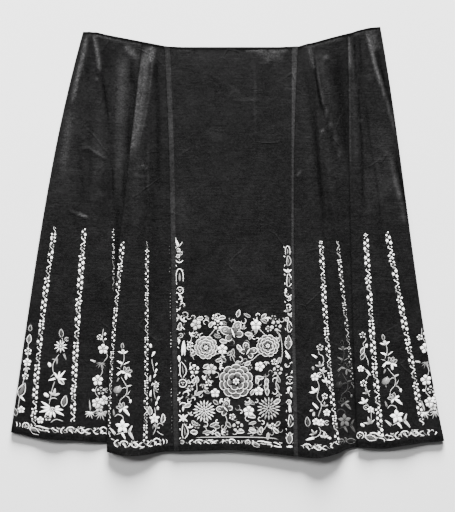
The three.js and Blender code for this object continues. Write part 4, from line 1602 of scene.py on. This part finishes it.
LEFT_SIDE_CHART = [
    (leaf, 24, -1, 21, 200, BRIGHT),
    (spike, 22, 1, 13, 148, BRIGHT),
    (ringlet, 30, -2, 4.6, 0, BRIGHT),
    (ringlet, 37, 3, 4.6, 0, PALE),
    (ringlet, 43, -3, 4.6, 0, BRIGHT),
    (crescent, 49, 0, 8.4, 180, BRIGHT),
    (arch, 88, 0, 34, 180, BRIGHT),
    (rosette, 119, 0, 7.4, 0, BRIGHT),
    (hook, 140, -5, 16, 160, BRIGHT),
    (leaf, 138, 5, 15, 215, BRIGHT),
    (s_curl, 154, 0, 24, 20, BRIGHT),
    (tendril, 172, 3, 16, 170, PALE),
    (lobed, 181, -2, 12, 200, PALE),
    (lobed, 187, 4, 12, 150, BRIGHT),
    (edged, 207, -3, 18, 174, PALE),
    (crescent, 208, 1, 7.6, 0, BRIGHT),
    (ringlet, 218, -1, 6, 0, PALE),
    (bean, 238, -6, 13, 174, BRIGHT),
    (leaf, 264, 3, 36, 176, BRIGHT),
    (bean, 277, -6, 16, 182, BRIGHT),
    (outlined, 312, -1, 38, 184, BRIGHT),
    (rosette, 323, 0, 8.6, 0, BRIGHT),
    (s_curl, 349, 0, 30, 8, BRIGHT),
    (bean, 340, 6, 11, 96, BRIGHT),
    (bean, 359, -5, 11, 276, BRIGHT),
    (crescent, 374, 0, 8.2, 0, BRIGHT),
    (bean, 386, 0, 12, 180, BRIGHT),
    (leaf_pair, 401, 0, 22, 180, BRIGHT),
    (leaf_pair, 399, 0, 20, 0, BRIGHT),
    (outlined, 446, 1, 36, 182, BRIGHT),
    (ringlet, 452, -3, 5, 0, PALE),
]
RIGHT_SIDE_CHART = [
    (arch, 12, 0, 22, 180, BRIGHT),
    (outlined, 46, 0, 25, 180, PALE),
    (leaf_pair, 60, 0, 20, 180, BRIGHT),
    (outlined, 92, 0, 32, 180, BRIGHT),
    (crescent, 105, 0, 7.6, 180, BRIGHT),
    (bean, 106, -5, 12, 180, BRIGHT),
    (ringlet, 117, 1, 5.4, 0, BRIGHT),
    (hook, 133, -5, 16, 165, BRIGHT),
    (lobed, 146, -1, 13, 195, GREY),
    (lobed, 156, 3, 13, 150, PALE),
    (ringlet, 162, -4, 5, 0, BRIGHT),
    (outlined, 192, 0, 28, 183, BRIGHT),
    (bar, 212, 6, 32, -90, BRIGHT),
    (bar, 216, 1, 26, -90, PALE),
    (edged, 228, -3, 30, 176, PALE),
    (leaf, 250, 0, 22, 205, BRIGHT),
    (s_curl, 262, 0, 24, 0, BRIGHT),
    (bean, 282, 2, 15, 140, BRIGHT),
    (rosette, 296, 0, 8, 0, BRIGHT),
    (hook_left, 316, 5, 17, 190, BRIGHT),
    (bean, 326, -4, 14, 172, BRIGHT),
    (bean, 336, 4, 14, 190, PALE),
    (ringlet, 344, -2, 6, 0, BRIGHT),
    (leaf, 368, 1, 20, 186, BRIGHT),
    (outlined, 400, 0, 30, 180, BRIGHT),
    (crescent, 410, 0, 8, 180, PALE),
    (edged, 436, -1, 26, 176, PALE),
    (bean, 442, -7, 14, 90, BRIGHT),
]
BORDERS = [  # layer, chart, where in it the line starts, the line, tone, and how high the chart stands
    ("left_outer", HEM_CHART, 0,
     ((-466, -402), (-444, -405), (-416, -411), (-378, -415), (-327, -415), (-262, -417)), 0.95, 0.95),
    ("left_inner", HEM_CHART, 86,
     ((-262, -437), (-226, -445), (-188, -445), (-150, -440), (-128, -439)), 0.95, 0.95),
    ("panel", HEM_CHART, 98,
     ((-86, -441), (-30, -440), (20, -440), (70, -442), (122, -446)), 0.95, 0.68),
    ("right_inner", HEM_CHART, 104, ((158, -448), (180, -451), (214, -451), (240, -444)), 0.8, 0.85),
    # Its low tone is painted shade: this stretch of the border lies in a fold.
    ("right_inner", HEM_CHART, 18, ((246, -441), (260, -436), (284, -428)), 0.12, 0.85),
    ("right_outer", HEM_CHART, 16,
     ((286, -426), (318, -425), (341, -431), (369, -426), (415, -421), (466, -419)), 0.95, 0.95),
    ("panel", LEFT_SIDE_CHART, 0, ((-107, 12), (-104, -150), (-99, -300), (-97, -446)), 0.9, 1),
    ("panel", RIGHT_SIDE_CHART, 0, ((132, -8), (134, -150), (137, -300), (136, -453)), 0.9, 1),
]


def trail(work, chart, start, path, tone, height):
    """Draws a chart along a path, from a place in the chart on. The hem's goes round, with its strokes."""
    points, headings = along_path(path, 1.0)

    def needle_at(along):
        return Needle(work, points[along], headings[along], 1.0, tone)

    def stroke(rows, width, stroke_tone):
        line = [needle_at(along).at(0, offset * height).place for along, offset in rows]
        Needle(work, (0, 0), 0, 1, tone).line(line, width, stroke_tone)

    if chart is HEM_CHART:
        width, vine_tone, half_wave, reach = HEM_VINE
        bends = range(0, len(points), half_wave)
        stroke([(along, reach if step % 2 else -reach) for step, along in enumerate(bends)], width, vine_tone)
        for rows, width, stroke_tone in HEM_STROKES:
            low = min(along for along, _ in rows)
            shift = (low - start) % HEM_LENGTH - low
            if max(along for along, _ in rows) + shift < len(points):
                stroke([(along + shift, offset) for along, offset in rows], width, stroke_tone)
    else:
        apart, out = SIDE_LEAVES
        for step, along in enumerate(range(4, len(points) - 2, apart)):
            small = needle_at(along).at(0, out if step % 2 else -out, RNG.uniform(-50, 50))
            small.pad(SMALL_PETAL, 0, 6, 3, (BRIGHT, GREY)[step % 2], -3)
    for motif, along, offset, size, heading, motif_tone in chart:
        spot = along - start
        if chart is HEM_CHART:
            spot %= HEM_LENGTH
        if spot < len(points):
            motif(needle_at(spot).at(0, offset * height, heading - 90, height), size, motif_tone)


# The square at the front panel's foot: a generic garden of peonies, chrysanthemums and butterflies


def peony(needle, size, tone):
    """Rings of wide petals with light edges, the inner ones on top."""
    rings = ((10, 1.0, 0.4, 0.56), (8, 0.76, 0.36, 0.5), (6, 0.52, 0.34, 0.44))
    for ring, (count, reach, long, wide) in enumerate(rings):
        for petal in range(count):
            heading = 90 + 360 * petal / count + 22 * ring
            over = needle.over(2 * ring + petal % 2)
            rimmed(over, heading, size * long, size * wide, tone, size * (reach - long))
    flower(needle.over(7), 6, size * 0.2, size * 0.13, BRIGHT, 0.2)


def chrysanthemum(needle, size, tone):
    flower(needle, 18, size, size * 0.2, tone, 0.55, SPIKE, 0.5)
    flower(needle.over(), 12, size * 0.62, size * 0.18, tone * 0.8, 0.4, SPIKE, 0.4)
    flower(needle.over(2), 7, size * 0.3, size * 0.14, tone, 0.2, SMALL_PETAL)


def butterfly(needle, size, tone):
    for side in (-1, 1):
        rimmed(needle, 90 - side * 46, size, size * 0.62, tone * 0.8)
        rimmed(needle, 90 - side * 112, size * 0.7, size * 0.48, tone * 0.6)
        spot = turned([(size * 0.66, 0)], 90 - side * 46)[0]
        needle.at(*spot, plies=1).ring(size * 0.1, 1.6, BRIGHT)
        needle.at(side, size * 0.4).curl(size * 0.13, 0.7, side, 1.4, BRIGHT)
    needle.at(0, -size * 0.3, plies=2).pad(LEAF, 90, size * 0.8, size * 0.15, BRIGHT)


SQUARE = {"left": -88, "right": 125, "top": -159, "foot": -430}
SQUARE_MOTIFS = [  # from the square's middle
    (peony, 0, -12, 37, 90, PALE),
    (peony, -66, 62, 25, 70, BRIGHT),
    (peony, 70, 66, 24, 110, PALE),
    (chrysanthemum, -70, -78, 25, 90, BRIGHT),
    (chrysanthemum, 72, -72, 26, 90, PALE),
    (butterfly, -6, 92, 30, 110, BRIGHT),
    (butterfly, 26, 52, 22, 60, PALE),
    (butterfly, -22, -74, 21, 130, PALE),
    (plum, -30, 58, 11, 90, BRIGHT),
    (plum, 52, 20, 11, 70, BRIGHT),
    (plum, -54, 14, 12, 90, PALE),
    (plum, 28, -78, 12, 90, BRIGHT),
    (open_plum, -92, 14, 11, 90, BRIGHT),
    (open_plum, 92, 12, 11, 90, PALE),
    (open_plum, -40, 112, 11, 90, BRIGHT),
    (plum, 44, 112, 12, 90, BRIGHT),
    (open_plum, 88, 110, 12, 60, PALE),
    (plum, -88, 112, 12, 40, PALE),
    (open_plum, 4, -112, 12, 90, PALE),
    (plum, -46, -38, 10, 90, BRIGHT),
    (plum, 50, -34, 10, 90, BRIGHT),
]
FILLER_STEP = (13, 12)  # the grid that what is still bare is filled on
FILLER_DRIFT = 2.6
FILLER_ROOM = 5  # how far a filler keeps from a motif
SQUARE_STEMS = [
    ((-34, -128), (-20, -100), (-30, -66), (-8, -48)),
    ((0, 26), (-14, 48), (-44, 48), (-62, 40)),
    ((10, 26), (34, 34), (52, 48), (66, 44)),
    ((-70, -104), (-60, -124), (-30, -128)),
    ((72, -98), (58, -120), (20, -128)),
    ((-90, 30), (-100, 56), (-96, 92), (-88, 104)),
    ((96, 22), (102, 50), (98, 86), (88, 100)),
    ((-62, 84), (-50, 98), (-42, 110)),
    ((66, 88), (56, 98), (46, 108)),
    ((-96, -50), (-86, -30), (-92, 4)),
    ((98, -44), (88, -24), (92, 2)),
]


def garden_square(work):
    """The square's motifs, then leaves and tendrils in what is still bare."""
    across = SQUARE["right"] - SQUARE["left"]
    height = SQUARE["top"] - SQUARE["foot"]
    middle = ((SQUARE["left"] + SQUARE["right"]) / 2, (SQUARE["top"] + SQUARE["foot"]) / 2)
    needle = Needle(work, middle)
    taken = []
    for motif, x, y, size, heading, tone in SQUARE_MOTIFS:
        motif(needle.at(x, y, heading - 90, plies=1), size, tone)
        taken.append((x, y, size * (0.62 if motif is butterfly else 1.0)))
    for path in SQUARE_STEMS:
        needle.line(path, 2.2, PALE)
    fillers = [edged, tendril, slim, s_curl, edged, lobed, open_plum, tendril_left, outlined, hook]
    sizes = [17, 15, 17, 20, 15, 10, 7, 15, 18, 14]
    step = 0
    for y in np.arange(-height / 2 + 11, height / 2 - 4, FILLER_STEP[1]):
        for x in np.arange(-across / 2 + 7, across / 2 - 5, FILLER_STEP[0]):
            spot = np.array([x, y]) + RNG.uniform(-FILLER_DRIFT, FILLER_DRIFT, 2)
            if any(math.dist(spot, (tx, ty)) < reach + FILLER_ROOM for tx, ty, reach in taken):
                continue
            kind = step % len(fillers)
            tone = (PALE, BRIGHT, GREY, BRIGHT, PALE, BRIGHT, GREY)[step % 7]
            fillers[kind](needle.at(*spot, RNG.uniform(-180, 180)), sizes[kind], tone)
            step += 1
    foot, side = -height / 2, across / 2
    needle.line([(4 - side, foot), (0, foot + 1), (side - 30, foot - 1), (side, foot - 8)], 2, PALE)


# Dashes that show beside the front panel's left edge: y of the top and foot of each stretch, and tone
DASHES = [
    (-8, -30, DIM),
    (-56, -66, GREY),
    (-112, -148, GREY),
    (-152, -172, GREY),
    (-198, -212, GREY),
    (-214, -236, BRIGHT),
    (-262, -270, DIM),
    (-276, -284, PALE),
    (-298, -308, GREY),
    (-322, -344, PALE),
    (-350, -362, DIM),
    (-384, -392, GREY),
    (-400, -418, DIM),
]
DASH_STEP = 7.5
DASH_PLACE = 3.2  # how far from the panel's edge they are


def edge_dashes(work):
    panel = CLOTHS["panel"]
    high, low = panel.ends[0]
    for top, foot, tone in DASHES:
        for y in np.arange(top, foot, -DASH_STEP):
            edge = panel.control(np.array([0]), np.array([(high - y) / (high - low)]))[0, 0]
            x = edge - DASH_PLACE + RNG.uniform(-0.6, 0.6)
            end = (RNG.uniform(-0.8, 0.8), -RNG.uniform(3, 5.5))
            Needle(work, (x, y)).line([(0, 0), end], 2.2, tone)


def embroider():
    for layer in LAYERS:
        work = Embroidery(layer)
        for spray_layer, chart, foot, turn, size, tone in SPRAYS:
            if spray_layer == layer:
                sew(Needle(work, foot, turn, size, tone), chart)
        for band_layer, cloth, seam, top, foot, width, end_width, tone, end_tone, run in SEAM_BANDS:
            if band_layer == layer:
                path = seam_path(CLOTHS[cloth], seam, top, foot)
                seam_band(work, path, (width, end_width), (tone, end_tone), run)
        for border_layer, chart, start, path, tone, height in BORDERS:
            if border_layer == layer:
                trail(work, chart, start, path, tone, height)
        if layer == "left_inner":
            edge_dashes(work)
        if layer == "panel":
            garden_square(work)
        work.finish(f"{layer}_embroidery")


embroider()

# The stage

CAMERA_HEIGHT = 4.5
PHOTO_HEIGHT = 1.1264  # what the photo's height covers at the skirt, 512 pixels of 2.2 mm
VIEW_CENTRE = (-0.0002, -0.0307, 0.01)
SENSOR = 36
FLOOR_REACH = 12
FLOOR_DROP = 0.0003  # keeps the floor clear of the skirt's underside
WORLD_STRENGTH = 0.12
LIGHTS = [  # name, place, size, power, and whether the cloth mirrors it
    ("window", (0.5, 7.5, 2.6), (4.4, 2.8), 7600, False),
    ("side", (-2.8, 0.9, 1.9), (0.9, 0.9), 80, False),
    ("softbox", (-0.3, 1.8, 3.1), (1.2, 0.9), 60, True),
]


def make_floor():
    bm = bmesh.new()
    bmesh.ops.create_grid(bm, x_segments=1, y_segments=1, size=FLOOR_REACH)
    mesh = bpy.data.meshes.new("floor")
    bm.to_mesh(mesh)
    bm.free()
    floor = bpy.data.objects.new("floor", mesh)
    floor.location.z = -FLOOR_DROP
    bpy.context.scene.collection.objects.link(floor)
    material, shader, at = new_material("pale_board", {"Specular IOR Level": 0.2})
    # The board's tone differs at random, and painted light makes it lighter towards -Y, evening out the
    # window's light where it falls off.
    tone = at.noise(3, 2, 0.5).between(0.66, 0.71) - at.part("Y") * 0.05
    link(shader, tone.grey(), at.noise(40, 2, 0.5).between(0.8, 0.95))
    mesh.materials.append(material)


def make_light(name, place, size, power, mirrored):
    """A soft light aimed at the skirt. Only a mirrored one shows as gloss on the cloth."""
    data = bpy.data.lights.new(name, "AREA")
    data.shape = "RECTANGLE"
    data.size, data.size_y = size
    data.energy = power
    light = bpy.data.objects.new(name, data)
    light.location = place
    light.rotation_euler = (Vector((0, 0, 0)) - Vector(place)).to_track_quat("-Z", "Y").to_euler()
    light.visible_glossy = mirrored
    bpy.context.scene.collection.objects.link(light)


def make_camera():
    data = bpy.data.cameras.new("camera")
    data.sensor_fit = "VERTICAL"
    data.sensor_height = SENSOR
    data.lens = SENSOR * (CAMERA_HEIGHT - VIEW_CENTRE[2]) / PHOTO_HEIGHT
    camera = bpy.data.objects.new("camera", data)
    camera.location = (VIEW_CENTRE[0], VIEW_CENTRE[1], CAMERA_HEIGHT)
    bpy.context.scene.collection.objects.link(camera)
    bpy.context.scene.camera = camera


def make_world():
    world = bpy.data.worlds.new("studio")
    world.use_nodes = True
    background = world.node_tree.nodes["Background"]
    background.inputs["Color"].default_value = (1, 1, 1, 1)
    background.inputs["Strength"].default_value = WORLD_STRENGTH
    bpy.context.scene.world = world


make_floor()
for row in LIGHTS:
    make_light(*row)
make_camera()
make_world()
